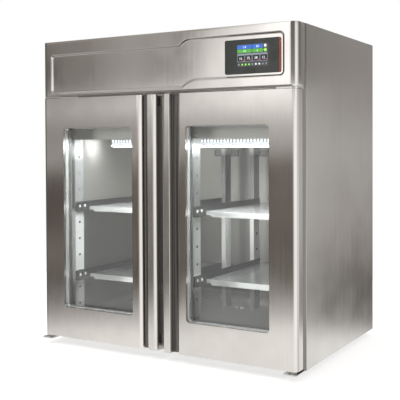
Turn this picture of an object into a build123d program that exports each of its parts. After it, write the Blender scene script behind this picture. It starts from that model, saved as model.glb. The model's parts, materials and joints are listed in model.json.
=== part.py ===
"""A two-door dry aging cabinet: a free-standing refrigerated cabinet in brushed stainless steel.

X runs across the cabinet, Y from the doors to the back, Z up. The origin is on the floor, under the middle
of the cabinet's own box. Depths are counted from the doors' front face, heights from the floor.
"""

from build123d import *
import os

# Overall size
body_width = 1460.0
body_height = 1540.0
carcass_depth = 902.0
foot_height = 30.0
header_height = 283.0
door_thickness = 63.0
gasket_gap = 15.0
hinge_nose = 15.0

# Walls of the insulated body
skin = 1.2
liner_skin = 1.0
side_wall = 65.0
back_wall = 60.0
floor_wall = 75.0
ceiling_wall = 60.0
deck_step = 3.0
side_fold = 28.0
side_corner_r = 18.0
back_fold_r = 3.0
back_inset = 8.0
frame_depth = 12.0
frame_lip = 5.0
sill_lip = 3.0
mullion_width = 96.0
mullion_depth = 40.0
mullion_corner_r = 5.0
mullion_sheet = 2.0

# Doors
door_gap = 32.0
door_side_inset = 3.0
door_bottom_gap = 14.0
door_top_gap = 9.0
door_corner_r = 22.0
door_return = 20.0
fold_r = 2.0
handle_width = 48.0
handle_nose_r = 22.0
handle_edge_r = 3.0
handle_wall = 2.0
handle_cap = 3.0
groove_width = 61.0
groove_depth = 30.0
groove_round_r = 26.0

# Door windows and their glass
stile_free = 139.0
stile_hinge = 135.0
rail_bottom = 156.0
rail_top = 153.0
window_corner_r = 18.0
reveal_depth = 17.0
bead_depth = 19.0
bead_step = 2.0
bead_cover = 6.0
pane_thickness = 4.0
pane_cover = 10.0
spacer_step = 3.0
door_back_sheet = 3.0

# Door gaskets
gasket_edge = 14.0
gasket_hinge_edge = 37.0
gasket_end_edge = 16.0
gasket_width = 14.0
gasket_neck = 7.0
gasket_base = 4.0
gasket_head = 5.0
gasket_play = 0.3

# Hinges
pivot_inset = 30.0
pivot_depth = 24.0
pin_r = 8.0
pin_reach = 28.0
pin_play = 0.05
bush_r = 13.0
bush_length = 32.0
bush_flange_r = 17.0
bush_end_play = 0.2
top_bracket_length = 99.0
top_bracket_thickness = 7.5
top_bracket_setback = 3.0
bottom_bracket_length = 65.0
bottom_bracket_thickness = 6.0
bottom_bracket_lip = 20.0
bottom_bracket_lip_sheet = 4.0
bottom_bracket_lip_length = 35.0

# Header fascia with its pressed panel
header_corner_r = 25.0
fascia_sheet = 1.5
press_depth = 8.0
press_slope = 11.0
press_left = 47.0
press_right = 63.0
press_low_bottom = 15.0
press_low_top = 214.0
press_high_bottom = 49.0
press_high_top = 243.0
swoosh_top_start = 121.0
swoosh_top_run = 63.0
swoosh_bottom_start = 139.0
swoosh_bottom_run = 88.0
press_left_r = 15.0
press_right_r = 22.0
press_swoosh_r = 7.0

# Control panel
control_right = 81.0
control_width = 281.0
control_height = 154.0
control_bottom = 65.0
control_corner_r = 8.0
control_thickness = 4.0
display_right = 142.0
display_width = 157.0
display_height = 100.0
display_bottom = 97.0
display_play = 0.2
box_width = 360.0
box_height = 190.0
box_depth = 110.0
box_right = 40.0
box_clear_floor = 40.0
box_corner_r = 4.0

# Racking
rail_front_depth = 150.0
rail_back_gap = 75.0
rail_width = 65.0
rail_offset = 23.0
rail_sheet = 1.5
rail_hole = 9.0
rail_hole_pitch = 87.5
rail_first_hole = 79.5
post_outer = 105.0
post_offset = 25.0
slide_sheet = 1.5
slide_height = 50.0
slide_ledge = 24.0
slide_front_depth = 146.0
slide_overrun = 6.0
slide_hole = 16.0
slide_hole_pitch = 40.0
slide_hole_end = 39.0
shelf_side_gap = 3.5
shelf_back_gap = 8.0
shelf_front_depth = 262.0
shelf_sheet = 1.5
shelf_lip = 27.0
shelf_side_lip = 18.0
shelf_lip_back = 8.0
shelf_notch = 6.0
shelf_notch_depth = 0.8
shelf_notch_end = 110.0
shelf_slot_length = 70.0
shelf_slot_width = 10.0
shelf_slot_pitch_x = 100.0
shelf_slot_pitch_y = 90.0
shelf_slot_columns = 4
shelf_slot_rows = 6
left_shelf_heights = (305.0, 675.0)
right_shelf_heights = (333.0, 675.0)

# Lamps
led_half_length = 500.0
led_front_depth = 283.0
led_modules = 4
led_height = 35.0
led_depth = 15.0
led_sheet = 1.5
led_lens_depth = 2.0
led_joint = 2.0

# Evaporator unit under the ceiling
cover_front_depth = 142.0
cover_height = 165.0
cover_side_gap = 3.0
cover_sheet = 1.2
cover_fold_r = 3.0
coil_end_gap = 145.0
coil_depth = 180.0
coil_height = 120.0
coil_back_gap = 40.0
coil_hanger = 10.0
coil_plate = 3.0
coil_groove = 6.0
coil_groove_depth = 5.0
coil_grooves = 18
coil_tube_r = 6.0
coil_bend_clear = 15.0
evaporator_bends = 1
fan_side_gap = 335.0
fan_coil_gap = 220.0
fan_tip_r = 84.0
fan_hub_r = 30.0
fan_hub_height = 26.0
fan_bore_r = 4.0
fan_edge_r = 4.0
fan_blades = 5
blade_root_chord = 26.0
blade_tip_chord = 60.0
blade_thickness = 2.5
blade_root_depth = 8.0
blade_root_pitch = 42.0
blade_tip_pitch = 24.0
fan_opening_r = 88.0
guard_r = 96.0
guard_ring = 4.0
guard_thickness = 4.0
guard_rings = 4
guard_bars = 2
guard_hub_r = 26.0
motor_r = 26.0
motor_height = 30.0
motor_edge_r = 4.0
motor_gap = 3.0
grille_width = 164.0
grille_height = 36.0
grille_inner = 68.0
grille_below_ceiling = 226.0
grille_sheet = 2.5
grille_bar = 5.0
grille_bars = 5

# Condensing unit on top of the body
deck_sheet = 1.2
compressor_inset = 330.0
compressor_depth = 560.0
compressor_r = 85.0
compressor_height = 190.0
compressor_round = 38.0
compressor_low_round = 12.0
compressor_foot = 12.0
compressor_stub = 8.0
compressor_stub_r = 8.0
compressor_base = 200.0
compressor_base_sheet = 4.0
mount_r = 12.0
terminal_width = 60.0
terminal_height = 70.0
terminal_depth = 30.0
condenser_x = 40.0
condenser_width = 380.0
condenser_depth = 60.0
condenser_height = 220.0
condenser_bends = 3
condenser_back_gap = 40.0
shroud_sheet = 2.0
shroud_opening_r = 100.0
shroud_ring = 4.0
shroud_ring_depth = 26.0
condenser_fan_tip_r = 92.0
condenser_fan_gap = 4.0
motor_stand_width = 44.0
motor_stand_sheet = 4.0
drier_r = 22.0
drier_length = 150.0
drier_round = 7.0
drier_inset = 230.0
drier_gap = 50.0
drier_saddle = 22.0
pipe_r = 5.0
pipe_bend_r = 22.0
suction_inset = 140.0
suction_height = 50.0

# Air slots in the top cover and the back panel
slot_length = 120.0
slot_width = 8.0
slot_pitch = 26.0
slot_columns = 4
slot_column_pitch = 165.0
back_slot_rows = 6
top_slot_rows = 10
top_slot_start = 420.0

# Feet, drain and cord gland
foot_inset_x = 90.0
foot_inset_y = 120.0
foot_pad_r = 26.0
foot_pad_height = 10.0
foot_pad_round = 2.0
foot_nut_across = 24.0
foot_nut_height = 12.0
foot_stem_r = 6.0
foot_plate = 70.0
foot_plate_thickness = 5.0
foot_thread_above = 25.0
drain_r = 10.0
drain_pipe_r = 12.0
drain_step = 2.0
drain_bore_r = 8.0
drain_drop = 22.0
drain_cup_r = 30.0
drain_cup_depth = 2.0
drain_back_gap = 120.0
gland_inset = 170.0
gland_below_top = 220.0
gland_r = 14.0
gland_bore_r = 6.0
gland_flange_r = 19.0
gland_flange = 4.0
gland_inside = 14.0

cut = 5.0

# Planes that the pieces share
half_width = body_width / 2
overall_depth = hinge_nose + door_thickness + gasket_gap + carcass_depth
front_y = hinge_nose - overall_depth / 2
carcass_y = front_y + door_thickness + gasket_gap
back_y = overall_depth / 2
base_z = foot_height
top_z = foot_height + body_height
header_z = top_z - header_height
door_z = base_z + door_bottom_gap
door_top_z = header_z - door_top_gap
frame_back_y = carcass_y + frame_depth
liner_x = half_width - side_wall
liner_back_y = back_y - back_wall
liner_back_depth = liner_back_y - front_y
floor_z = base_z + floor_wall
back_panel_y = back_y - back_inset - skin
deck_z = header_z + deck_step
ceiling_z = deck_z - ceiling_wall
side_inner_x = half_width - skin
flange_x = half_width - side_fold
door_outer_x = half_width - door_side_inset
door_free_x = door_gap / 2
handle_x = door_free_x + handle_width
panel_x = handle_x + groove_width - groove_round_r
pivot_x = door_outer_x - pivot_inset
pivot_y = front_y + pivot_depth
window_x = (door_free_x + stile_free + door_outer_x - stile_hinge) / 2
window_width = door_outer_x - door_free_x - stile_free - stile_hinge
window_z = (door_z + rail_bottom + door_top_z - rail_top) / 2
window_height = door_top_z - door_z - rail_bottom - rail_top
control_left = half_width - control_right - control_width
display_left = half_width - display_right - display_width
box_left = half_width - box_right - box_width
rail_depths = (rail_front_depth, liner_back_depth - rail_back_gap - rail_width)
shelf_width = liner_x - rail_offset - post_outer - 2 * shelf_side_gap
shelf_depth = liner_back_depth - shelf_back_gap - shelf_front_depth
coil_width = 2 * (liner_x - coil_end_gap)
coil_y = liner_back_y - coil_back_gap - coil_depth / 2
coil_z = ceiling_z - coil_hanger - coil_height / 2
evaporator_port_z = coil_z + coil_height / (evaporator_bends + 1) / 2
fan_x = liner_x - fan_side_gap
fan_y = coil_y - coil_depth / 2 - fan_coil_gap
condenser_y = back_panel_y - condenser_back_gap - condenser_depth / 2
condenser_z = deck_z + deck_sheet + condenser_height / 2
condenser_pitch = condenser_height / (condenser_bends + 1)
shroud_y = condenser_y - condenser_depth / 2 - shroud_sheet
motor_y = shroud_y - condenser_fan_gap - fan_hub_height - motor_gap - motor_height
compressor_x = half_width - compressor_inset
compressor_y = front_y + compressor_depth
drier_x = half_width - drier_inset
drier_y = condenser_y - drier_gap - drier_length
suction_x = half_width - suction_inset
discharge_z = condenser_z - condenser_pitch / 2
liquid_z = discharge_z - condenser_pitch
suction_z = deck_z + suction_height
drain_y = liner_back_y - drain_back_gap
gland_x = half_width - gland_inset
gland_z = top_z - gland_below_top


def at_depth(depth):
    """The Y of a plane that lies this far behind the doors' front face."""
    return front_y + depth


def block(x0, x1, y0, y1, z0, z1):
    """A block between two corners, low and high along each axis."""
    centre = Pos((x0 + x1) / 2, (y0 + y1) / 2, (z0 + z1) / 2)
    return centre * Box(x1 - x0, y1 - y0, z1 - z0)


def rod_z(x, y, radius, z0, z1):
    """An upright round bar."""
    return Pos(x, y, (z0 + z1) / 2) * Cylinder(radius, z1 - z0)


def rod_y(x, z, radius, y0, y1):
    """A round bar from front to back."""
    return Pos(x, (y0 + y1) / 2, z) * Rot(90, 0, 0) * Cylinder(radius, y1 - y0)


def rise(face, z0, z1):
    """A plan outline raised between two heights."""
    return extrude(Pos(0, 0, z0) * face, amount=z1 - z0, dir=(0, 0, 1))


def slab(face, y0, y1):
    """A front-view outline, drawn in X and Z, given its thickness between two Y planes."""
    return extrude(Plane.XZ.offset(-y1) * face, amount=y1 - y0)


def sheet(points, radii, gauge, side=Side.RIGHT):
    """A plan section of folded sheet: one face follows the points, the metal lies to the side given."""
    path = FilletPolyline(*points, radius=radii)
    return make_face(offset(path, amount=gauge, side=side, closed=True).edges())


def closed_plan(points, radii):
    """A face whose outline follows the points with round corners and closes with a straight edge."""
    line = FilletPolyline(*points, radius=radii)
    return make_face([*line.edges(), Line(points[0], points[-1])])


def round_corner(face, point, radius):
    """The face with its corner nearest to the point rounded."""
    return fillet(face.vertices().sort_by_distance(point)[0], radius)


def between_skins():
    """The plan of a level sheet between the side skins, from the front frame to the back panel."""
    front = carcass_y + skin
    corners = [
        (-side_inner_x, back_panel_y),
        (-side_inner_x, front),
        (side_inner_x, front),
        (side_inner_x, back_panel_y),
    ]
    return closed_plan(corners, [side_corner_r - skin, side_corner_r - skin])


def both_sides(shape):
    """A right-hand piece and its mirror image on the left."""
    return [mirror(shape, about=Plane.YZ), shape]


def solids_of(shapes):
    """Every solid in a shape or in a list of shapes."""
    listed = shapes if isinstance(shapes, (list, tuple)) else [shapes]
    return [solid for shape in listed for solid in shape.solids()]


def side_panel():
    """The right side skin, folded inwards at the front with a round corner and at the back."""
    points = [(flange_x, back_y), (half_width, back_y), (half_width, carcass_y), (flange_x, carcass_y)]
    return rise(sheet(points, [back_fold_r, side_corner_r], skin), base_z, top_z)


def slot_bank(columns, rows, column_pitch, row_pitch):
    """Air slots on a grid round the origin."""
    grid = GridLocations(column_pitch, row_pitch, columns, rows)
    return Sketch() + grid * SlotOverall(slot_length, slot_width)


def back_panel():
    """The back sheet, with folds along the side skins, air slots at the top and the gland's hole."""
    fold_y = back_y - back_fold_r
    points = [
        (-side_inner_x, fold_y),
        (-side_inner_x, back_panel_y),
        (side_inner_x, back_panel_y),
        (side_inner_x, fold_y),
    ]
    panel = rise(sheet(points, [back_fold_r, back_fold_r], skin, Side.LEFT), base_z, top_z)
    bank_z = (deck_z + top_z) / 2
    slots = slot_bank(slot_columns, back_slot_rows, slot_column_pitch, slot_pitch)
    panel -= slab(Pos(condenser_x, bank_z) * slots, back_panel_y - cut, back_panel_y + back_inset)
    return panel - rod_y(gland_x, gland_z, gland_r, back_panel_y - cut, back_y)


def top_cover():
    """The lid over the condensing unit, with air slots towards the back."""
    cover = rise(between_skins(), top_z - skin, top_z)
    bank_y = at_depth(top_slot_start) + (top_slot_rows - 1) * slot_pitch / 2
    slots = slot_bank(slot_columns, top_slot_rows, slot_column_pitch, slot_pitch)
    return cover - rise(Pos(condenser_x, bank_y) * slots, top_z - skin - cut, top_z + cut)


def foot_places():
    """The plan places of the four feet."""
    x = half_width - foot_inset_x
    ys = (carcass_y + foot_inset_y, back_y - foot_inset_y)
    return [(side * x, y) for side in (-1, 1) for y in ys]


def base_pan():
    """The bottom sheet, with a nut plate over each foot and a hole for the drain."""
    pan = rise(between_skins(), base_z, base_z + skin)
    pan -= block(-flange_x, flange_x, carcass_y, frame_back_y, base_z - cut, base_z + skin + cut)
    for x, y in foot_places():
        half = foot_plate / 2
        top = base_z + skin + foot_plate_thickness
        pan += block(x - half, x + half, y - half, y + half, base_z + skin, top)
        pan -= rod_z(x, y, foot_stem_r, base_z - cut, top + cut)
    return pan - rod_z(0, drain_y, drain_pipe_r, base_z - cut, base_z + skin + cut)


def levelling_feet():
    """Four screw feet, each a pad, a hexagon and a threaded stem in its nut plate."""
    feet = []
    for x, y in foot_places():
        pad = rod_z(x, y, foot_pad_r, 0, foot_pad_height)
        pad = fillet(pad.edges().group_by(Axis.Z)[-1], foot_pad_round)
        hexagon = Pos(x, y) * RegularPolygon(foot_nut_across / 2, 6, major_radius=False)
        nut = rise(hexagon, foot_pad_height, foot_pad_height + foot_nut_height)
        stem_top = base_z + skin + foot_plate_thickness + foot_thread_above
        feet.append(pad + nut + rod_z(x, y, foot_stem_r, foot_pad_height, stem_top))
    return feet


def insulation():
    """Foam slabs between the skins and the liner: two sides, back, floor and ceiling."""
    low, high = base_z + skin, deck_z
    inner = liner_x + liner_skin
    side = block(inner, side_inner_x, carcass_y + side_corner_r, back_panel_y, low, high)
    rear = block(-inner, inner, liner_back_y + liner_skin, back_panel_y, low, high)
    rear_y = liner_back_y + liner_skin
    under = block(-inner, inner, frame_back_y, rear_y, low, floor_z - liner_skin)
    over = block(-inner, inner, frame_back_y, rear_y, ceiling_z + liner_skin, high)
    nut_top = base_z + skin + foot_plate_thickness
    half = foot_plate / 2
    for x, y in foot_places():
        pocket = block(x - half, x + half, y - half, y + half, low - cut, nut_top)
        pocket += rod_z(x, y, foot_stem_r, low, nut_top + foot_thread_above)
        side, rear, under = side - pocket, rear - pocket, under - pocket
    under -= rod_z(0, drain_y, drain_pipe_r, low - cut, floor_z)
    suction = rod_z(suction_x, coil_y, pipe_r, ceiling_z, high + cut)
    return [*both_sides(side), rear, under, over - suction]


def liner_panels():
    """The chamber's steel lining: two sides, back, floor and ceiling."""
    low, high = floor_z - liner_skin, ceiling_z + liner_skin
    outer = liner_x + liner_skin
    side = block(liner_x, outer, frame_back_y, liner_back_y, floor_z, ceiling_z)
    rear = block(-outer, outer, liner_back_y, liner_back_y + liner_skin, low, high)
    under = block(-outer, outer, frame_back_y, liner_back_y, low, floor_z)
    under -= rod_z(0, drain_y, drain_pipe_r, low - cut, floor_z + cut)
    over = block(-outer, outer, frame_back_y, liner_back_y, ceiling_z, high)
    over -= rod_z(suction_x, coil_y, pipe_r, ceiling_z - cut, high + cut)
    return [*both_sides(side), rear, under, over]


def face_frame():
    """The frame round the chamber's mouth, which the door gaskets close on: two stiles and two rails."""
    opening_x = liner_x - frame_lip
    low, high = floor_z + sill_lip, ceiling_z - sill_lip
    stile = block(opening_x, flange_x, carcass_y, frame_back_y, base_z, deck_z)
    bottom = block(-opening_x, opening_x, carcass_y, frame_back_y, base_z, low)
    top = block(-opening_x, opening_x, carcass_y, frame_back_y, high, deck_z)
    return [*both_sides(stile), bottom, top]


def centre_mullion():
    """The upright between the doors, a closed box of sheet that both inner gaskets close on."""
    outline = RectangleRounded(mullion_width, mullion_depth, mullion_corner_r)
    hollow = offset(outline, amount=-mullion_sheet)
    section = Pos(0, carcass_y + mullion_depth / 2) * (outline - hollow)
    return rise(section, floor_z + sill_lip, ceiling_z - sill_lip)


def header_frame():
    """The sheet that closes the machine space behind the header fascia."""
    return block(-flange_x, flange_x, carcass_y, carcass_y + skin, deck_z, top_z)


def press_outline():
    """The pressed panel's edge on the fascia: a long band that steps up to the right in a swoosh."""
    left, right = press_left - half_width, half_width - press_right
    low, low_top = header_z + press_low_bottom, header_z + press_low_top
    high, high_top = header_z + press_high_bottom, header_z + press_high_top
    top_start, top_end = (swoosh_top_start, low_top), (swoosh_top_start + swoosh_top_run, high_top)
    bottom_start, bottom_end = (swoosh_bottom_start, low), (swoosh_bottom_start + swoosh_bottom_run, high)
    edges = [
        Line((left, low), bottom_start),
        TangentArc(bottom_end, bottom_start, tangent=(-1, 0)),
        Line(bottom_end, (right, high)),
        Line((right, high), (right, high_top)),
        Line((right, high_top), top_end),
        TangentArc(top_end, top_start, tangent=(-1, 0)),
        Line(top_start, (left, low_top)),
        Line((left, low_top), (left, low)),
    ]
    face = make_face(edges)
    rounds = {
        press_left_r: ((left, low), (left, low_top)),
        press_right_r: ((right, high), (right, high_top)),
        press_swoosh_r: (top_start, bottom_start),
    }
    for radius, corners in rounds.items():
        for point in corners:
            face = round_corner(face, point, radius)
    return face


def press_tool(outline, depth):
    """The sloping-walled volume that a pressing of this outline and depth takes up behind the front."""
    floor_outline = offset(outline, amount=-press_slope)
    near = (Plane.XZ.offset(-front_y) * outline).face()
    far = (Plane.XZ.offset(-front_y - depth) * floor_outline).face()
    return loft([near, far], ruled=True)


def header_fascia():
    """The header's front: a shallow steel box, open at the back, with the pressed panel in its face."""
    left, right = -half_width, half_width
    corners = [(left, carcass_y), (left, front_y), (right, front_y), (right, carcass_y)]
    plan = closed_plan(corners, [header_corner_r, header_corner_r])
    hollow = offset(plan, amount=-fascia_sheet)
    fascia = rise(plan, header_z, top_z)
    fascia -= rise(hollow, header_z + fascia_sheet, top_z - fascia_sheet)
    inner_x = half_width - fascia_sheet
    low, high = header_z + fascia_sheet, top_z - fascia_sheet
    fascia -= block(-inner_x, inner_x, carcass_y - header_corner_r, carcass_y + cut, low, high)
    outline = press_outline()
    fascia += press_tool(offset(outline, amount=fascia_sheet), press_depth + fascia_sheet)
    return fascia - press_tool(outline, press_depth)


def control_panel():
    """The dark bezel on the pressed panel's floor, with the display's window through it."""
    z = header_z + control_bottom + control_height / 2
    bezel = Pos(control_left + control_width / 2, z) * RectangleRounded(
        control_width, control_height, control_corner_r
    )
    hole_z = header_z + display_bottom + display_height / 2
    hole_width, hole_height = display_width + 2 * display_play, display_height + 2 * display_play
    hole = Pos(display_left + display_width / 2, hole_z) * Rectangle(hole_width, hole_height)
    floor_y = front_y + press_depth
    return slab(bezel - hole, floor_y - control_thickness, floor_y)


def touch_display():
    """The touch screen, which stands on the fascia inside the bezel's window."""
    z = header_z + display_bottom + display_height / 2
    face = Pos(display_left + display_width / 2, z) * Rectangle(display_width, display_height)
    floor_y = front_y + press_depth
    return slab(face, floor_y - control_thickness, floor_y)


def electrical_box():
    """The box behind the header frame that holds the control boards."""
    low = deck_z + box_clear_floor
    y0 = carcass_y + skin
    box = block(box_left, box_left + box_width, y0, y0 + box_depth, low, low + box_height)
    box = fillet(box.edges().filter_by(Axis.Z), box_corner_r)
    inner = block(
        box_left + skin,
        box_left + box_width - skin,
        y0 + skin,
        y0 + box_depth - skin,
        low + skin,
        low + box_height - skin,
    )
    return box - inner


def door_plan(inset, back):
    """The plan of a right door's panel, drawn in by a thickness and cut off at a back plane."""
    left, right, front = panel_x + inset, door_outer_x - inset, front_y + inset
    corners = [(left, back), (left, front), (right, front), (right, back)]
    return closed_plan(corners, [groove_round_r - inset, door_corner_r - inset])


def window_outline(grow):
    """A door window's clear opening in front view, grown or drawn in by a distance."""
    size_x, size_z = window_width + 2 * grow, window_height + 2 * grow
    return Pos(window_x, window_z) * RectangleRounded(size_x, size_z, window_corner_r + grow)


def door_shell():
    """A right door's outer skin: folded sheet with end plates, the window's cut-out and its reveal."""
    back = front_y + door_thickness
    points = [
        (door_outer_x - door_return, back),
        (door_outer_x, back),
        (door_outer_x, front_y),
        (panel_x, front_y),
        (panel_x, back),
        (panel_x + door_return, back),
    ]
    section = sheet(points, [fold_r, door_corner_r, groove_round_r, fold_r], skin)
    shell = rise(section, door_z, door_top_z)
    plan = door_plan(0, back)
    for z0, z1 in ((door_z, door_z + skin), (door_top_z - skin, door_top_z)):
        shell += rise(plan, z0, z1)
    shell -= slab(window_outline(0), front_y - cut, front_y + reveal_depth)
    shell += slab(window_outline(skin) - window_outline(0), front_y, front_y + reveal_depth)
    shell -= rod_z(pivot_x, pivot_y, bush_r, door_z - cut, door_z + skin + cut)
    return shell - rod_z(pivot_x, pivot_y, bush_r, door_top_z - skin - cut, door_top_z + cut)


def door_core():
    """A right door's foam, round the glass and the hinge bushes."""
    back = front_y + door_thickness - door_back_sheet
    core = rise(door_plan(skin, back), door_z + skin, door_top_z - skin)
    core -= slab(window_outline(pane_cover), front_y, back + cut)
    core -= rod_z(pivot_x, pivot_y, bush_r, door_z, door_z + bush_length)
    return core - rod_z(pivot_x, pivot_y, bush_r, door_top_z - bush_length, door_top_z)


def door_back_panel():
    """A right door's inner sheet, between the shell's folds."""
    back = front_y + door_thickness
    left, right = panel_x + door_return, door_outer_x - door_return
    panel = block(left, right, back - door_back_sheet, back, door_z + skin, door_top_z - skin)
    return panel - slab(window_outline(0), back - door_back_sheet - cut, back + cut)


def door_handle():
    """A right door's full-height handle: a closed profile with a round nose and the groove's floor."""
    back = front_y + door_thickness
    points = [
        (panel_x, back),
        (panel_x, front_y + groove_depth),
        (handle_x, front_y + groove_depth),
        (handle_x, front_y),
        (door_free_x, front_y),
        (door_free_x, back),
    ]
    plan = make_face(Polyline(*points, close=True).edges())
    plan = round_corner(plan, (handle_x, front_y), handle_edge_r)
    plan = round_corner(plan, (handle_x, front_y + groove_depth), handle_edge_r)
    plan = round_corner(plan, (door_free_x, front_y), handle_nose_r)
    hollow = offset(plan, amount=-handle_wall)
    return rise(plan, door_z, door_top_z) - rise(hollow, door_z + handle_cap, door_top_z - handle_cap)


def glazing_stack():
    """A right door's window: the bead behind the reveal, two panes and the spacer between them."""
    bead_y = front_y + reveal_depth
    outer_y = bead_y + bead_depth
    spacer_y = outer_y + pane_thickness
    inner_back = front_y + door_thickness - door_back_sheet
    inner_y = inner_back - pane_thickness
    bead = slab(window_outline(bead_cover) - window_outline(-bead_step), bead_y, outer_y)
    pane = window_outline(pane_cover)
    panes = [slab(pane, outer_y, spacer_y), slab(pane, inner_y, inner_back)]
    spacer = slab(pane - window_outline(-spacer_step), spacer_y, inner_y)
    return bead, panes, spacer


def door_gasket():
    """A right door's magnetic gasket: a base, a narrow bellows and the head that meets the frame."""
    x0, x1 = door_free_x + gasket_edge, door_outer_x - gasket_hinge_edge
    z0, z1 = door_z + gasket_end_edge, door_top_z - gasket_end_edge
    centre = Pos((x0 + x1) / 2, (z0 + z1) / 2)

    def ring(width):
        margin = (gasket_width - width) / 2
        outer = Rectangle(x1 - x0 - 2 * margin, z1 - z0 - 2 * margin)
        inner = Rectangle(x1 - x0 - 2 * margin - 2 * width, z1 - z0 - 2 * margin - 2 * width)
        return centre * (outer - inner)

    back = front_y + door_thickness
    head_back = back + gasket_gap - gasket_play
    head_front = head_back - gasket_head
    gasket = slab(ring(gasket_width), back, back + gasket_base)
    gasket += slab(ring(gasket_neck), back + gasket_base, head_front)
    return gasket + slab(ring(gasket_width), head_front, head_back)


def hinge_bushes():
    """A right door's two pivot bushes; the lower one has the flange that carries the door."""
    flange_bottom = base_z + bottom_bracket_thickness + bush_end_play
    lower = rod_z(pivot_x, pivot_y, bush_r, door_z, door_z + bush_length)
    lower += rod_z(pivot_x, pivot_y, bush_flange_r, flange_bottom, door_z)
    upper = rod_z(pivot_x, pivot_y, bush_r, door_top_z - bush_length, door_top_z)
    bore = pin_r + pin_play
    lower -= rod_z(pivot_x, pivot_y, bore, flange_bottom - cut, door_z + bush_length + cut)
    upper -= rod_z(pivot_x, pivot_y, bore, door_top_z - bush_length - cut, door_top_z + cut)
    return [lower, upper]


def door_nodes(side, place):
    """All the pieces of one door, under names that start with its side."""
    bead, panes, spacer = glazing_stack()
    pieces = {
        "door_shell": door_shell(),
        "door_core": door_core(),
        "door_back_panel": door_back_panel(),
        "door_handle": door_handle(),
        "glazing_bead": bead,
        "glass_panes": panes,
        "glass_spacer": spacer,
        "door_gasket": door_gasket(),
        "hinge_bushes": hinge_bushes(),
    }
    return {f"{side}_{name}": [place(s) for s in solids_of(piece)] for name, piece in pieces.items()}


def top_hinge_brackets():
    """Plates under the header's ends, each with a hole for its door's upper pin."""
    y0 = front_y + top_bracket_setback
    low = header_z - top_bracket_thickness
    plate = block(door_outer_x - top_bracket_length, door_outer_x, y0, carcass_y, low, header_z)
    outer_edge = plate.edges().filter_by(Axis.Z).sort_by_distance((door_outer_x, y0, header_z))[0]
    plate = fillet(outer_edge, door_corner_r)
    return both_sides(plate - rod_z(pivot_x, pivot_y, pin_r, low - cut, header_z + cut))


def bottom_hinge_brackets():
    """Plates under the doors' outer corners, each with a lip on the frame and a hole for the lower pin."""
    high = base_z + bottom_bracket_thickness
    x0 = half_width - bottom_bracket_length
    plate = block(x0, half_width, front_y - hinge_nose, carcass_y, base_z, high)
    lip_y = carcass_y - bottom_bracket_lip_sheet
    plate += block(x0, x0 + bottom_bracket_lip_length, lip_y, carcass_y, base_z, high + bottom_bracket_lip)
    return both_sides(plate - rod_z(pivot_x, pivot_y, pin_r, base_z - cut, high + cut))


def hinge_pins():
    """The four pins that the doors turn on, two down from the header and two up from the base."""
    lower = rod_z(pivot_x, pivot_y, pin_r, base_z, door_z + pin_reach)
    upper = rod_z(pivot_x, pivot_y, pin_r, door_top_z - pin_reach, header_z)
    return [*both_sides(lower), *both_sides(upper)]


def channel(face_x, offset_x, depth):
    """An upright open channel: its face at face_x looks to the middle or away, its legs run offset_x."""
    y0 = at_depth(depth)
    y1 = y0 + rail_width
    step = rail_sheet if offset_x > 0 else -rail_sheet
    far = face_x + offset_x
    face = (min(face_x, face_x + step), max(face_x, face_x + step))
    legs = (min(face_x, far), max(face_x, far))
    return face, legs, y0, y1


def perforated_channel(face_x, offset_x, depth, z0, z1):
    """A rack upright: a folded channel with square holes up the middle of its face."""
    face, legs, y0, y1 = channel(face_x, offset_x, depth)
    upright = block(*face, y0, y1, z0, z1)
    upright += block(*legs, y0, y0 + rail_sheet, z0, z1)
    upright += block(*legs, y1 - rail_sheet, y1, z0, z1)
    middle = (y0 + y1) / 2
    half = rail_hole / 2
    z = floor_z + rail_first_hole
    while z < z1 - rail_hole:
        low, high = face[0] - cut, face[1] + cut
        upright -= block(low, high, middle - half, middle + half, z - half, z + half)
        z += rail_hole_pitch
    return upright


def wall_rails():
    """Four perforated uprights against the chamber's side walls."""
    top = ceiling_z - cover_height
    rails = []
    for depth in rail_depths:
        rails += both_sides(perforated_channel(liner_x - rail_offset, rail_offset, depth, floor_z, top))
    return rails


def centre_posts():
    """Four perforated uprights in the middle of the chamber, from its floor to the evaporator cover."""
    top = ceiling_z - cover_height
    posts = []
    for depth in rail_depths:
        posts += both_sides(perforated_channel(post_outer, -post_offset, depth, floor_z, top))
    return posts


def slide(face_x, inward, height):
    """One shelf slide: a plate on the uprights' faces, with a ledge under the shelf and two holes."""
    y0 = at_depth(slide_front_depth)
    y1 = at_depth(rail_depths[-1]) + rail_width + slide_overrun
    far = face_x + inward * slide_sheet
    plate = block(min(face_x, far), max(face_x, far), y0, y1, height, height + slide_height)
    edge = face_x + inward * slide_ledge
    plate += block(min(face_x, edge), max(face_x, edge), y0, y1, height, height + slide_sheet)
    for step in (0, slide_hole_pitch):
        y = y0 + slide_hole_end + step
        z = height + slide_height / 2
        half = slide_hole / 2
        low, high = min(face_x, far) - cut, max(face_x, far) + cut
        plate -= block(low, high, y - half, y + half, z - half, z + half)
    return plate


def shelf_slides():
    """Two slides for each shelf, one on the wall rails and one on the centre posts."""
    slides = []
    wall_face = liner_x - rail_offset
    for heights, side in ((left_shelf_heights, -1), (right_shelf_heights, 1)):
        for height in heights:
            ledge = height - slide_sheet + shelf_lip - shelf_side_lip
            slides.append(slide(side * wall_face, -side, ledge))
            slides.append(slide(side * post_outer, side, ledge))
    return slides


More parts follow.
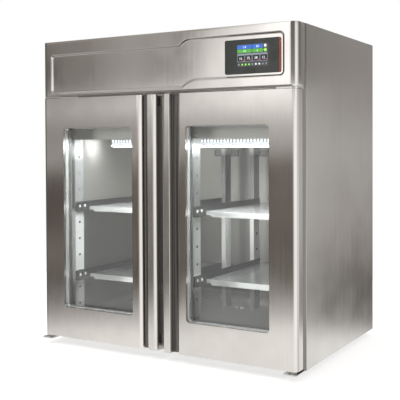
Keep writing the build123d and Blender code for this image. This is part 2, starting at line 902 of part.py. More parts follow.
def shelf(side, height):
    """One shelf: a slotted steel tray turned down all round, with a deep front lip in three lengths."""
    middle = side * (liner_x - rail_offset + post_outer) / 2
    x0, x1 = middle - shelf_width / 2, middle + shelf_width / 2
    y0 = at_depth(shelf_front_depth)
    y1 = y0 + shelf_depth
    top = height + shelf_lip
    tray = block(x0, x1, y0, y1, top - shelf_side_lip, top)
    inset = shelf_sheet
    low = height - cut
    tray -= block(x0 + inset, x1 - inset, y0 + inset, y1 - inset, low, top - inset)
    clear = slide_ledge + cut
    tray += block(x0 + clear, x1 - clear, y0, y0 + inset, height, top)
    tray += block(x0 + clear, x1 - clear, y0, y0 + shelf_lip_back, height, height + inset)
    for x in (x0 + shelf_notch_end, x1 - shelf_notch_end):
        half = shelf_notch / 2
        tray -= block(x - half, x + half, y0 - cut, y0 + shelf_notch_depth, height - cut, top + cut)
    grid = GridLocations(shelf_slot_pitch_x, shelf_slot_pitch_y, shelf_slot_columns, shelf_slot_rows)
    slots = Sketch() + grid * Rectangle(shelf_slot_length, shelf_slot_width)
    return tray - rise(Pos(middle, (y0 + y1) / 2) * slots, top - inset - cut, top + cut)


def led_places():
    """The left ends and the length of the lamp's modules."""
    length = (2 * led_half_length - (led_modules - 1) * led_joint) / led_modules
    return [(-led_half_length + n * (length + led_joint), length) for n in range(led_modules)]


def led_housing():
    """The lamp's aluminium channel, on the underside of the evaporator cover."""
    top = ceiling_z - cover_height
    y0 = at_depth(led_front_depth)
    y1 = y0 + led_depth
    low = top - led_height
    bar = block(-led_half_length, led_half_length, y0, y1, low, top)
    inner_low, inner_top = low + led_sheet, top - led_sheet
    return bar - block(-led_half_length, led_half_length, y0 - cut, y1 - led_sheet, inner_low, inner_top)


def led_lenses():
    """The lamp's lens modules, set in the mouth of the channel."""
    top = ceiling_z - cover_height - led_sheet
    low = ceiling_z - cover_height - led_height + led_sheet
    y0 = at_depth(led_front_depth)
    return [block(x, x + length, y0, y0 + led_lens_depth, low, top) for x, length in led_places()]


def cover_sides():
    """The evaporator cover's outer faces: half its width, its front, back and underside."""
    return liner_x - cover_side_gap, at_depth(cover_front_depth), liner_back_y, ceiling_z - cover_height


def evaporator_cover():
    """The folded cover under the ceiling, with the fans' two round openings in its underside."""
    half, y0, y1, low = cover_sides()
    points = [(-half, y1), (-half, y0), (half, y0), (half, y1)]
    outline = closed_plan(points, [cover_fold_r, cover_fold_r])
    hollow = offset(outline, amount=-cover_sheet)
    cover = rise(outline, low, ceiling_z) - rise(hollow, low + cover_sheet, ceiling_z + cut)
    for x, y in evaporator_fan_places():
        cover -= rod_z(x, y, fan_opening_r, low - cut, low + cover_sheet + cut)
    return cover


def finned_block(width, depth, height, bends):
    """A coil round the origin: a grooved fin pack between end plates, with tube bends at the ends."""
    inner_width = width - 2 * coil_plate
    face_y = depth / 2 - coil_plate
    coil = Box(inner_width, 2 * face_y, height - 2 * coil_plate)
    pitch = inner_width / (coil_grooves + 1)
    for n in range(coil_grooves):
        x = (n + 1) * pitch - inner_width / 2
        for side in (-1, 1):
            coil -= Pos(x, side * face_y, 0) * Box(coil_groove, 2 * coil_groove_depth, height)
    bend_pitch = height / (bends + 1)
    reach = (bend_pitch - coil_bend_clear) / 2
    for side in (-1, 1):
        coil += Pos(side * (width - coil_plate) / 2, 0, 0) * Box(coil_plate, depth, height)
        outside = Pos(side * reach / 2, 0, 0) * Box(reach, 2 * coil_tube_r, 2 * reach)
        bend = Rot(90, 0, 0) * Torus(reach - coil_tube_r, coil_tube_r) & outside
        for n in range(bends):
            coil += Pos(side * width / 2, 0, (n - (bends - 1) / 2) * bend_pitch) * bend
    return coil


def evaporator_coil():
    """The evaporator, hung from the ceiling on two plates behind the fans."""
    top = ceiling_z - coil_hanger
    coil = Pos(0, coil_y, coil_z) * finned_block(coil_width, coil_depth, coil_height, evaporator_bends)
    half = coil_plate / 2
    for side in (-1, 1):
        x = side * (coil_width / 2 - half)
        coil += block(x - half, x + half, coil_y - coil_depth / 2, coil_y + coil_depth / 2, top, ceiling_z)
    return coil


def fan_rotor(tip_r):
    """A fan wheel with its centre at the origin and its axis along Z: a bored hub and pitched blades."""
    hub = Cylinder(fan_hub_r, fan_hub_height)
    hub = fillet(hub.edges().group_by(Axis.Z)[-1], fan_edge_r)
    root_plane = Plane.YZ.offset(fan_hub_r - blade_root_depth)
    tip_plane = Plane.YZ.offset(tip_r)
    root = root_plane * Rot(0, 0, blade_root_pitch) * Rectangle(blade_root_chord, blade_thickness)
    tip = tip_plane * Rot(0, 0, blade_tip_pitch) * Rectangle(blade_tip_chord, blade_thickness)
    blade = loft([root.face(), tip.face()])
    for place in PolarLocations(0, fan_blades):
        hub += place * blade
    return hub - Cylinder(fan_bore_r + pin_play, fan_hub_height + cut)


def motor(height):
    """A fan motor standing on the origin, with the shaft that its wheel is pushed on."""
    can = Pos(0, 0, height / 2) * Cylinder(motor_r, height)
    can = fillet(can.edges().group_by(Axis.Z)[-1], motor_edge_r)
    shaft_top = height + motor_gap + fan_hub_height / 2
    return can + Pos(0, 0, (height + shaft_top) / 2) * Cylinder(fan_bore_r, shaft_top - height)


def evaporator_fan_places():
    """The plan places of the two fans under the evaporator cover."""
    return [(-fan_x, fan_y), (fan_x, fan_y)]


def fan_guards():
    """Round guards under the fan openings: rings on spokes, with a middle plate that carries the motor."""
    low = ceiling_z - cover_height - guard_thickness
    guards = []
    for x, y in evaporator_fan_places():
        guard = rod_z(x, y, guard_hub_r, low, low + guard_thickness)
        step = (guard_r - guard_hub_r) / guard_rings
        for n in range(guard_rings):
            radius = guard_hub_r + (n + 1) * step
            ring = rod_z(x, y, radius, low, low + guard_thickness)
            guard += ring - rod_z(x, y, radius - guard_ring, low - cut, low + guard_thickness + cut)
        for n in range(guard_bars):
            bar = Box(2 * guard_r - guard_ring, guard_ring, guard_thickness)
            turn = Rot(0, 0, n * 180 / guard_bars)
            guard += Pos(x, y, low + guard_thickness / 2) * turn * bar
        guards.append(guard)
    return guards


def fan_motors():
    """Two motors on the fan guards, and the condenser fan's motor on its upright."""
    low = ceiling_z - cover_height
    motors = [Pos(x, y, low) * motor(motor_height) for x, y in evaporator_fan_places()]
    lying = Pos(condenser_x, motor_y, condenser_z) * Rot(-90, 0, 0) * motor(motor_height)
    half = motor_stand_width / 2
    y0, y1 = motor_y - motor_stand_sheet, motor_y
    stand = block(condenser_x - half, condenser_x + half, y0, y1, deck_z + deck_sheet, condenser_z + half)
    return [*motors, lying + stand]


def evaporator_fan(side):
    """One fan wheel over its motor, blowing down through the guard."""
    low = ceiling_z - cover_height + motor_height + motor_gap
    return Pos(side * fan_x, fan_y, low + fan_hub_height / 2) * fan_rotor(fan_tip_r)


def condenser_fan():
    """The fan wheel behind the condenser's shroud."""
    y = motor_y + motor_height + motor_gap + fan_hub_height / 2
    return Pos(condenser_x, y, condenser_z) * Rot(-90, 0, 0) * fan_rotor(condenser_fan_tip_r)


def air_grilles():
    """Two barred grilles on the chamber's back wall, high up on each side of the middle."""
    z1 = ceiling_z - grille_below_ceiling
    z0 = z1 - grille_height
    x0, x1 = grille_inner, grille_inner + grille_width
    y0, y1 = liner_back_y - grille_sheet, liner_back_y
    grille = block(x0, x1, y0, y1, z0, z1)
    pitch = (grille_height - grille_bar) / grille_bars
    for n in range(grille_bars):
        low = z0 + grille_bar + n * pitch
        high = low + pitch - grille_sheet
        grille -= block(x0 + grille_bar, x1 - grille_bar, y0 - cut, y1 + cut, low, high)
    return both_sides(grille)


def unit_tray():
    """The steel deck over the ceiling foam, on which the condensing unit stands."""
    deck = rise(between_skins(), deck_z, deck_z + deck_sheet)
    return deck - rod_z(suction_x, coil_y, pipe_r, deck_z - cut, deck_z + deck_sheet + cut)


def compressor():
    """A hermetic compressor: a domed can on a foot plate with four rubber mounts, and its terminal box."""
    x, y = compressor_x, compressor_y
    plate_z = deck_z + deck_sheet + compressor_foot
    half = compressor_base / 2
    base = block(x - half, x + half, y - half, y + half, plate_z, plate_z + compressor_base_sheet)
    base = fillet(base.edges().filter_by(Axis.Z), mount_r)
    for sx in (-1, 1):
        for sy in (-1, 1):
            reach = half - mount_r - mount_r / 2
            base += rod_z(x + sx * reach, y + sy * reach, mount_r, deck_z + deck_sheet, plate_z)
    can_z = plate_z + compressor_base_sheet
    can = rod_z(x, y, compressor_r, can_z, can_z + compressor_height)
    can = fillet(can.edges().group_by(Axis.Z)[-1], compressor_round)
    can = fillet(can.edges().group_by(Axis.Z)[0], compressor_low_round)
    reach = compressor_r + terminal_depth
    low = can_z + (compressor_height - terminal_height) / 2
    half_box = terminal_width / 2
    box = block(x + compressor_r / 2, x + reach, y - half_box, y + half_box, low, low + terminal_height)
    discharge = rod_y(x, discharge_z, compressor_stub_r, y, y + compressor_r + compressor_stub)
    stub_x = x + (compressor_r + compressor_stub) / 2
    lying = Rot(0, 90, 0) * Cylinder(compressor_stub_r, compressor_r + compressor_stub)
    return base + can + box + discharge + Pos(stub_x, y, suction_z) * lying


def condenser_coil():
    """The condenser, upright in front of the back panel's air slots."""
    block_at = Pos(condenser_x, condenser_y, condenser_z)
    return block_at * finned_block(condenser_width, condenser_depth, condenser_height, condenser_bends)


def condenser_shroud():
    """The plate and ring that lead the fan's air through the condenser."""
    half = condenser_width / 2
    y0, y1 = shroud_y - shroud_ring_depth, shroud_y + shroud_sheet
    low, high = deck_z + deck_sheet, deck_z + deck_sheet + condenser_height
    shroud = block(condenser_x - half, condenser_x + half, shroud_y, y1, low, high)
    shroud += rod_y(condenser_x, condenser_z, shroud_opening_r + shroud_ring, y0, shroud_y)
    return shroud - rod_y(condenser_x, condenser_z, shroud_opening_r, y0 - cut, y1 + cut)


def tube(points):
    """A copper pipe along a run of straight lengths with round bends."""
    path = FilletPolyline(*points, radius=pipe_bend_r)
    start = Plane(origin=path @ 0, z_dir=path % 0)
    return sweep(start * Circle(pipe_r), path=path)


def drier():
    """The filter drier, a round-ended can on its saddle."""
    y1 = drier_y + drier_length
    can = fillet(rod_y(drier_x, liquid_z, drier_r, drier_y, y1).edges(), drier_round)
    half = drier_saddle / 2
    middle = (drier_y + y1) / 2
    foot_z = deck_z + deck_sheet
    return can + block(drier_x - half, drier_x + half, middle - half, middle + half, foot_z, liquid_z)


def refrigerant_line():
    """The copper circuit: the discharge, liquid and suction pipes, and the drier."""
    condenser_end = condenser_x + condenser_width / 2
    port_y = compressor_y + compressor_r + compressor_stub
    port_x = compressor_x + compressor_r + compressor_stub
    discharge = [
        (compressor_x, port_y, discharge_z),
        (compressor_x, condenser_y, discharge_z),
        (condenser_end, condenser_y, discharge_z),
    ]
    liquid = [
        (condenser_end, condenser_y, liquid_z),
        (drier_x, condenser_y, liquid_z),
        (drier_x, drier_y + drier_length, liquid_z),
    ]
    suction = [
        (coil_width / 2, coil_y, evaporator_port_z),
        (suction_x, coil_y, evaporator_port_z),
        (suction_x, coil_y, suction_z),
        (suction_x, compressor_y, suction_z),
        (port_x, compressor_y, suction_z),
    ]
    return [tube(discharge), tube(liquid), tube(suction), drier()]


def drain_spigot():
    """The chamber's drain: a cup on the floor, a pipe through the base and a spigot for a hose."""
    low, shoulder = base_z - drain_drop, base_z - drain_step
    pipe = rod_z(0, drain_y, drain_r, low, shoulder)
    pipe += rod_z(0, drain_y, drain_pipe_r, shoulder, floor_z)
    pipe += rod_z(0, drain_y, drain_cup_r, floor_z, floor_z + drain_cup_depth)
    return pipe - rod_z(0, drain_y, drain_bore_r, low - cut, floor_z + drain_cup_depth + cut)


def cord_gland():
    """The mains lead's gland in the back panel, a bored screw body with an outer flange."""
    outside = back_panel_y + skin
    gland = rod_y(gland_x, gland_z, gland_r, back_panel_y - gland_inside, outside + gland_flange)
    gland += rod_y(gland_x, gland_z, gland_flange_r, outside, outside + gland_flange)
    return gland - rod_y(gland_x, gland_z, gland_bore_r, back_panel_y - gland_inside - cut, back_y)


def body_nodes():
    """The cabinet's own pieces, without the doors."""
    nodes = {
        "left_side_panel": mirror(side_panel(), about=Plane.YZ),
        "right_side_panel": side_panel(),
        "back_panel": back_panel(),
        "top_cover": top_cover(),
        "base_pan": base_pan(),
        "levelling_feet": levelling_feet(),
        "insulation": insulation(),
        "liner_panels": liner_panels(),
        "face_frame": face_frame(),
        "centre_mullion": centre_mullion(),
        "header_frame": header_frame(),
        "header_fascia": header_fascia(),
        "control_panel": control_panel(),
        "touch_display": touch_display(),
        "electrical_box": electrical_box(),
        "top_hinge_brackets": top_hinge_brackets(),
        "bottom_hinge_brackets": bottom_hinge_brackets(),
        "hinge_pins": hinge_pins(),
        "drain_spigot": drain_spigot(),
        "cord_gland": cord_gland(),
    }
    return nodes


def chamber_nodes():
    """The racking, shelves, lamp and evaporator unit in the chamber."""
    nodes = {
        "wall_rails": wall_rails(),
        "centre_posts": centre_posts(),
        "shelf_slides": shelf_slides(),
        "led_housing": led_housing(),
        "led_lenses": led_lenses(),
        "evaporator_cover": evaporator_cover(),
        "evaporator_coil": evaporator_coil(),
        "fan_guards": fan_guards(),
        "fan_motors": fan_motors(),
        "evaporator_fan_left": evaporator_fan(-1),
        "evaporator_fan_right": evaporator_fan(1),
        "air_grilles": air_grilles(),
    }
    for side, name, heights in ((-1, "left", left_shelf_heights), (1, "right", right_shelf_heights)):
        for level, height in zip(("lower", "upper"), heights):
            nodes[f"{name}_{level}_shelf"] = shelf(side, height)
    return nodes


def machine_nodes():
    """The condensing unit in the space above the chamber."""
    return {
        "unit_tray": unit_tray(),
        "compressor": compressor(),
        "condenser_coil": condenser_coil(),
        "condenser_shroud": condenser_shroud(),
        "condenser_fan": condenser_fan(),
        "refrigerant_line": refrigerant_line(),
    }


def main():
    os.makedirs("parts", exist_ok=True)
    nodes = {**body_nodes(), **chamber_nodes(), **machine_nodes()}
    nodes.update(door_nodes("right", lambda solid: solid))
    nodes.update(door_nodes("left", lambda solid: mirror(solid, about=Plane.YZ)))
    for name, shapes in nodes.items():
        export_step(Compound(children=solids_of(shapes)), f"parts/{name}.step")
    print(len(nodes), "nodes written")


main()
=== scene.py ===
"""The looks of a two-door dry aging cabinet: its finishes, its fine pieces, its light and its camera.

Lengths are in metres, with +X to the right as one faces the doors, +Y from the doors to the back and +Z up.
Each sub-assembly is a class that builds its meshes with numpy and gives its pieces their finishes.
"""

import json
import logging
import math
import operator
from dataclasses import dataclass
from enum import Enum
from functools import cache, reduce

import bmesh
import bpy
import numpy as np
from mathutils import Matrix, Vector


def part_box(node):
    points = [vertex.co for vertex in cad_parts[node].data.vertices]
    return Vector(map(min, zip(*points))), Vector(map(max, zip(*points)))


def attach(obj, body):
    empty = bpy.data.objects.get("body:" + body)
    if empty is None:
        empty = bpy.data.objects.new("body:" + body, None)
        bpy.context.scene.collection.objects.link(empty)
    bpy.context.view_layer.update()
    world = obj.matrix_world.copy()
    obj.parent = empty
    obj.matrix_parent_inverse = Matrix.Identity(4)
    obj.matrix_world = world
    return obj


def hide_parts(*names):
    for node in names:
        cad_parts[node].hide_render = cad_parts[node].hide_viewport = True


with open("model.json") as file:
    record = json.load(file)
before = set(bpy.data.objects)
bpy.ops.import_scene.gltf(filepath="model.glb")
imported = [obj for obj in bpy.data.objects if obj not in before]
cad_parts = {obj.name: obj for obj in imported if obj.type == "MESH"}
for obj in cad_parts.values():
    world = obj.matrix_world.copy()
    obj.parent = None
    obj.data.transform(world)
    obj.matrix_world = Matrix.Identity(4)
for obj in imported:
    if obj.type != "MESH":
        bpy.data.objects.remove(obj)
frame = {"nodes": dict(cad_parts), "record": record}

LOG = logging.getLogger("cabinet")

Array = np.ndarray
Pair = tuple[float, float]
Place = tuple[float, float, float]
Colour = tuple[float, float, float]
Stops = list[tuple[float, Colour]]
Node = bpy.types.Node
Socket = bpy.types.NodeSocket
Material = bpy.types.Material
Piece = bpy.types.Object

WHITE = (1.0, 1.0, 1.0)
WARM = (0.66, 0.64, 0.615)

# The patterns of a steel sheet: their turns per metre, and the relief of its drawn lines.
FINE_LINES, BROAD_LINES, CLOUDS, SHEET_WAVES = 620.0, 150.0, 5.0, 1.6
LINE_DEPTH = 0.00006
# How far the lines' axis leans, so that no face of the cabinet lies square to it.
LEAN = (0.03, 0.02, 0.04)

# Points of a mesh that lie closer than this are one.
SAME_POINT = 1e-6

# How a form's X, Y and Z are laid when it is turned.
RIGHT, AWAY, UP = np.eye(3)
FACING_FRONT = np.stack([RIGHT, UP, -AWAY])
FACING_BACK = np.stack([-RIGHT, UP, AWAY])
FACING_DOWN = np.stack([RIGHT, -AWAY, -UP])
LYING = np.stack([RIGHT, UP, AWAY])
SIDEWAYS = np.stack([AWAY, RIGHT, UP])


class Grain(Enum):
    """The way that a brushed or rolled finish runs, as the noise's scale along X, Y and Z."""

    UPRIGHT = (1.0, 1.0, 0.012)
    ACROSS = (0.012, 1.0, 1.0)
    DEEP = (1.0, 0.012, 1.0)
    LEVEL = (0.012, 0.012, 1.0)
    NONE = (1.0, 1.0, 1.0)


class Body(Enum):
    """The moving bodies that a piece can ride on."""

    CABINET = "cabinet"
    LEFT_DOOR = "left_door"
    RIGHT_DOOR = "right_door"


class Graph:
    """A node tree with short ways to add nodes and to join them."""

    def __init__(self, tree: bpy.types.NodeTree) -> None:
        """Starts from an empty tree."""
        self.tree = tree
        tree.nodes.clear()

    def add(self, kind: str, values: dict | None = None, **settings: object) -> Node:
        """Adds a node.

        Args:
            kind: the node's type, without the ShaderNode prefix.
            values: what goes into its input sockets, by name or number: a number, a colour or another socket.
            settings: the node's own properties.

        Returns:
            The new node.
        """
        node = self.tree.nodes.new("ShaderNode" + kind)
        for name, value in settings.items():
            setattr(node, name, value)
        for name, value in (values or {}).items():
            socket = node.inputs[name]
            if isinstance(value, Socket):
                self.tree.links.new(value, socket)
            else:
                opaque = socket.type == "RGBA" and isinstance(value, tuple)
                socket.default_value = (*value, 1.0) if opaque else value
        return node

    def place(self) -> Socket:
        """The object's own coordinates."""
        return self.add("TexCoord").outputs["Object"]

    def math(self, operation: str, *terms: Socket | float) -> Socket:
        """Joins numbers with a math node and returns its result."""
        return self.add("Math", dict(enumerate(terms)), operation=operation).outputs[0]

    def product(self, *factors: Socket | float) -> Socket:
        """Multiplies numbers with each other."""
        return reduce(lambda one, other: self.math("MULTIPLY", one, other), factors)

    def span(self, value: Socket, low: float, high: float, start: float = 0.0, end: float = 1.0) -> Socket:
        """Maps a value from one range to another, smoothly and held at the ends."""
        values = {"Value": value, "From Min": low, "From Max": high, "To Min": start, "To Max": end}
        return self.add("MapRange", values, interpolation_type="SMOOTHSTEP").outputs[0]

    def ramp(self, factor: Socket, stops: Stops) -> Socket:
        """Turns a number from 0 to 1 into a colour.

        Args:
            factor: the number.
            stops: places in rising order, each with its colour. Between two places the colour runs straight.

        Returns:
            The colour.
        """
        node = self.add("ValToRGB", {"Fac": factor})
        elements = node.color_ramp.elements
        while len(elements) < len(stops):
            elements.new(0.5)
        for element, (place, colour) in zip(elements, stops):
            element.position, element.color = place, (*colour, 1.0)
        return node.outputs["Color"]

    def between(self, pattern: Socket, dark: Colour, light: Colour, low: float = 0.3, high: float = 0.7) -> Socket:
        """Colours a pattern from dark to light between two of its values."""
        return self.ramp(pattern, [(low, dark), (high, light)])

    def mix(
        self, factor: Socket | float, first: Socket | Colour, second: Socket | Colour, blend: str = "MIX"
    ) -> Socket:
        """Mixes two colours and returns the result."""
        values = {0: factor, 6: first, 7: second}
        return self.add("Mix", values, data_type="RGBA", blend_type=blend).outputs[2]

    def noise(self, scale: float, stretch: Place = (1.0, 1.0, 1.0), detail: float = 3.0) -> Socket:
        """Noise on the object's own coordinates.

        Args:
            scale: its turns per metre.
            stretch: the share of those turns that it has along X, Y and Z.
            detail: how many finer layers lie over it.

        Returns:
            The noise.
        """
        mapped = self.add("Mapping", {"Vector": self.place(), "Scale": stretch}).outputs[0]
        values = {"Vector": mapped, "Scale": scale, "Detail": detail, "Roughness": 0.55}
        return self.add("TexNoise", values).outputs[0]

    def waves(self, per_metre: float, ragged: float = 0.0) -> Socket:
        """Even waves along X. The node's own pattern has 20 / (2 pi) waves in each unit of its scale."""
        bends = {"Distortion": ragged, "Detail Scale": 0.2}
        values = {"Vector": self.place(), "Scale": per_metre * math.tau / 20, **bends}
        return self.add("TexWave", values, bands_direction="X").outputs["Fac"]

    def bump(self, height: Socket, distance: float, strength: float = 1.0, normal: Socket | None = None) -> Socket:
        """A bump from a height, laid over another one where that is given."""
        under = {"Normal": normal} if normal else {}
        return self.add("Bump", {"Height": height, "Distance": distance, "Strength": strength, **under}).outputs[0]

    def surface(self, values: dict) -> Socket:
        """Adds the surface shader and returns what it gives."""
        return self.add("BsdfPrincipled", values).outputs[0]

    def seen(self) -> Socket:
        """1 where the camera looks, straight or through glass, and 0 for all other light."""
        path = self.add("LightPath").outputs
        return self.math("MAXIMUM", path["Is Camera Ray"], path["Is Transmission Ray"])

    def show(self, shader: Socket, kind: str = "OutputMaterial") -> None:
        """Joins a shader to the output of the material or of the world."""
        self.tree.links.new(shader, self.add(kind).inputs[0])


@dataclass(frozen=True)
class Finish:
    """What all finishes have: a name, a colour and a way to make their material."""

    name: str
    colour: Colour

    def tinted(self, factor: float) -> Colour:
        """The finish's colour made lighter or darker, held below 1."""
        return tuple(min(1.0, part * factor) for part in self.colour)

    def make(self) -> Material:
        """Makes the finish's node material.

        Returns:
            The new material.
        """
        material = bpy.data.materials.new(self.name)
        material.use_nodes = True
        graph = Graph(material.node_tree)
        graph.show(self.shader(graph))
        return material

    def shader(self, graph: Graph) -> Socket:
        """Adds the finish's nodes and returns their shader. Each kind of finish has its own."""
        raise NotImplementedError


@dataclass(frozen=True)
class Steel(Finish):
    """Stainless or zinc-coated sheet: fine drawn lines, cloudy wear and a slow wave in the sheet.

    Its painted shade names an axis and the shares of the colour at places along it, darker where its neighbours
    would shade the steel. Nearer to the middle of the cabinet than the width beyond, it darkens three tenths as
    much.
    """

    roughness: float
    grain: Grain = Grain.UPRIGHT
    lines: float = 0.5
    stretch: float = 0.5
    wave: float = 0.0004
    metal: float = 1.0
    bands: tuple[str, tuple[Pair, ...]] | None = None
    beyond: float = 0.0

    def shader(self, graph: Graph) -> Socket:
        """Lays drawn lines and clouds over the colour, the gloss and the relief.

        Args:
            graph: the material's graph.

        Returns:
            The shader.
        """
        fine = graph.noise(FINE_LINES, self.grain.value, 2.0)
        broad = graph.noise(BROAD_LINES, self.grain.value)
        cloud = graph.noise(CLOUDS)
        streak = graph.mix(0.5, fine, broad)
        tint = graph.between(streak, self.tinted(1 - 0.16 * self.lines), self.colour)
        tint = graph.mix(graph.span(cloud, 0.35, 0.7, 0.0, 0.22), tint, self.tinted(0.9))
        # Painted shade where the steel's neighbours would shade it.
        if self.bands:
            tint = self.paint_shade(graph, tint)
        rough = graph.math("MULTIPLY_ADD", streak, 0.14 * self.lines, self.roughness - 0.07 * self.lines)
        rough = graph.math("ADD", rough, graph.span(cloud, 0.3, 0.75, -0.02, 0.03))
        relief = graph.bump(graph.noise(SHEET_WAVES), self.wave)
        relief = graph.bump(streak, LINE_DEPTH, 0.35 * self.lines, relief)
        values = {"Base Color": tint, "Metallic": self.metal, "Roughness": rough, "Normal": relief}
        if self.grain is not Grain.NONE:
            values |= {"Anisotropic": self.stretch, "Tangent": self.across(graph)}
        return graph.surface(values)

    def paint_shade(self, graph: Graph, tint: Socket) -> Socket:
        """Darkens a colour by painted shade, whose shares run straight from one place to the next.

        Args:
            graph: the material's graph.
            tint: the colour.

        Returns:
            The darkened colour.
        """
        axis, places = self.bands
        spot = graph.add("SeparateXYZ", {0: graph.place()}).outputs
        start, end = places[0][0], places[-1][0]
        along = graph.add("MapRange", {"Value": spot[axis], "From Min": start, "From Max": end}).outputs[0]
        shares = graph.ramp(along, [((place - start) / (end - start), (share,) * 3) for place, share in places])
        outside = 1.0
        if self.beyond:
            outside = graph.span(graph.math("ABSOLUTE", spot["X"]), self.beyond, self.beyond + 0.01, 0.3)
        return graph.mix(outside, tint, shares, "MULTIPLY")

    def across(self, graph: Graph) -> Socket:
        """The direction in the surface that lies across the drawn lines.

        It is the lines' axis, leant a little, crossed with the normal. Level lines have no axis of their own: there
        it is the upright axis crossed with the normal, and that crossed with the normal again.

        Args:
            graph: the material's graph.

        Returns:
            The direction.
        """
        level = self.grain is Grain.LEVEL
        line = UP if level else np.array(self.grain.value) < 0.5
        normal = graph.add("NewGeometry").outputs["Normal"]
        side = tuple((line + LEAN).tolist())
        for _ in range(2 if level else 1):
            side = graph.add("VectorMath", {0: side, 1: normal}, operation="CROSS_PRODUCT").outputs[0]
        return side


@dataclass(frozen=True)
class Plastic(Finish):
    """Moulded plastic, rubber or paint: a fine grain, a slight mottle and handling marks in the gloss."""

    roughness: float
    grain_scale: float = 900.0
    depth: float = 0.00008
    coat: float = 0.0

    def shader(self, graph: Graph) -> Socket:
        """Mottles the colour and the gloss over a grained relief.

        Args:
            graph: the material's graph.

        Returns:
            The shader.
        """
        mottle = graph.noise(14.0)
        tint = graph.between(mottle, self.tinted(0.86), self.tinted(1.08))
        rough = graph.span(mottle, 0.3, 0.7, self.roughness - 0.05, self.roughness + 0.05)
        grain = graph.bump(graph.noise(self.grain_scale, detail=2.0), self.depth)
        coat = {"Coat Weight": self.coat, "Coat Roughness": 0.08}
        return graph.surface({"Base Color": tint, "Roughness": rough, "Normal": grain, **coat})


@dataclass(frozen=True)
class Foam(Finish):
    """Rigid poured foam: a cream mass with open cells."""

    name: str = "foam"
    colour: Colour = (0.85, 0.8, 0.62)

    def shader(self, graph: Graph) -> Socket:
        """Darkens and sinks the cells of the foam.

        Args:
            graph: the material's graph.

        Returns:
            The shader.
        """
        cells = graph.add("TexVoronoi", {"Vector": graph.place(), "Scale": 420.0}).outputs["Distance"]
        tint = graph.between(graph.noise(22.0), self.tinted(0.82), self.colour)
        tint = graph.mix(graph.span(cells, 0.1, 0.7, 0.0, 0.3), tint, self.tinted(0.6))
        return graph.surface({"Base Color": tint, "Roughness": 0.9, "Normal": graph.bump(cells, 0.0006)})


@dataclass(frozen=True)
class Glass(Finish):
    """Clear safety glass, a little green, with faint wiping marks. Lamps' light passes straight through it."""

    name: str = "clear_glass"
    colour: Colour = (0.99, 0.995, 0.99)

    def shader(self, graph: Graph) -> Socket:
        """Shows glass to the eye and a clear sheet to a lamp's light.

        Args:
            graph: the material's graph.

        Returns:
            The shader.
        """
        wipes = graph.noise(9.0, (1.0, 1.0, 0.25))
        tint = graph.between(wipes, self.colour, self.tinted(0.985), 0.35, 0.75)
        glass = graph.surface({"Base Color": tint, "Roughness": 0.0, "IOR": 1.45, "Transmission Weight": 1.0})
        clear = graph.add("BsdfTransparent", {"Color": (0.97, 0.99, 0.98)}).outputs[0]
        shadow = graph.add("LightPath").outputs["Is Shadow Ray"]
        return graph.add("MixShader", {0: shadow, 1: glass, 2: clear}).outputs[0]


@dataclass(frozen=True)
class Fins(Finish):
    """A pack of thin upright fins: painted shade in the gaps between their bright edges, with a few bent ones."""

    name: str = "coil_aluminium"
    colour: Colour = (0.72, 0.74, 0.75)
    per_metre: float = 212.8

    def shader(self, graph: Graph) -> Socket:
        """Draws the fins' edges, with painted shade between them and dust on them.

        Args:
            graph: the material's graph.

        Returns:
            The shader.
        """
        edges = graph.waves(self.per_metre, 0.6)
        # The gaps between the fins are painted shade, three tenths of the colour.
        tint = graph.between(edges, self.tinted(0.3), self.colour, 0.2, 0.75)
        tint = graph.mix(graph.span(graph.noise(30.0), 0.45, 0.8, 0.0, 0.35), tint, (0.35, 0.33, 0.3))
        relief = graph.bump(edges, 0.0008)
        return graph.surface({"Base Color": tint, "Metallic": 0.9, "Roughness": 0.42, "Normal": relief})


@dataclass(frozen=True)
class Copper(Finish):
    """Drawn copper tube, darker and duller in places where it has been handled and brazed."""

    name: str = "copper"
    colour: Colour = (0.78, 0.42, 0.26)

    def shader(self, graph: Graph) -> Socket:
        """Darkens and dulls the tube in clouds.

        Args:
            graph: the material's graph.

        Returns:
            The shader.
        """
        tarnish = graph.noise(26.0)
        tint = graph.between(tarnish, self.tinted(0.62), self.colour, 0.35, 0.65)
        rough = graph.span(tarnish, 0.3, 0.7, 0.42, 0.22)
        grain = graph.bump(graph.noise(500.0), 0.00005)
        return graph.surface({"Base Color": tint, "Metallic": 1.0, "Roughness": rough, "Normal": grain})


@dataclass(frozen=True)
class Glow(Finish):
    """A surface that gives its own light, such as a lamp's lens or a lit mark on a screen."""

    strength: float
    ripples: float = 0.0

    def shader(self, graph: Graph) -> Socket:
        """Lights the colour, over ripples where the finish has them.

        Args:
            graph: the material's graph.

        Returns:
            The shader.
        """
        tint = graph.between(graph.noise(120.0), self.tinted(0.9), self.colour)
        light = {"Emission Color": self.colour, "Emission Strength": self.strength}
        if self.ripples:
            light["Normal"] = graph.bump(graph.waves(self.ripples), 0.0008)
        return graph.surface({"Base Color": tint, "Roughness": 0.3, **light})


@dataclass(frozen=True)
class PaleFloor(Finish):
    """A pale floor with fine speckles, which is lit from within for the camera alone."""

    name: str = "studio_floor"
    colour: Colour = (0.82, 0.82, 0.81)
    strength: float = 0.64

    def shader(self, graph: Graph) -> Socket:
        """Adds light of its own to the floor where the camera looks.

        Args:
            graph: the material's graph.

        Returns:
            The shader.
        """
        tint = graph.between(graph.noise(60.0), self.tinted(0.99), self.colour)
        floor = graph.surface({"Base Color": tint, "Roughness": 0.9})
        strength = graph.math("MULTIPLY", graph.seen(), self.strength)
        light = graph.add("Emission", {"Color": WHITE, "Strength": strength}).outputs[0]
        return graph.add("AddShader", {0: floor, 1: light}).outputs[0]
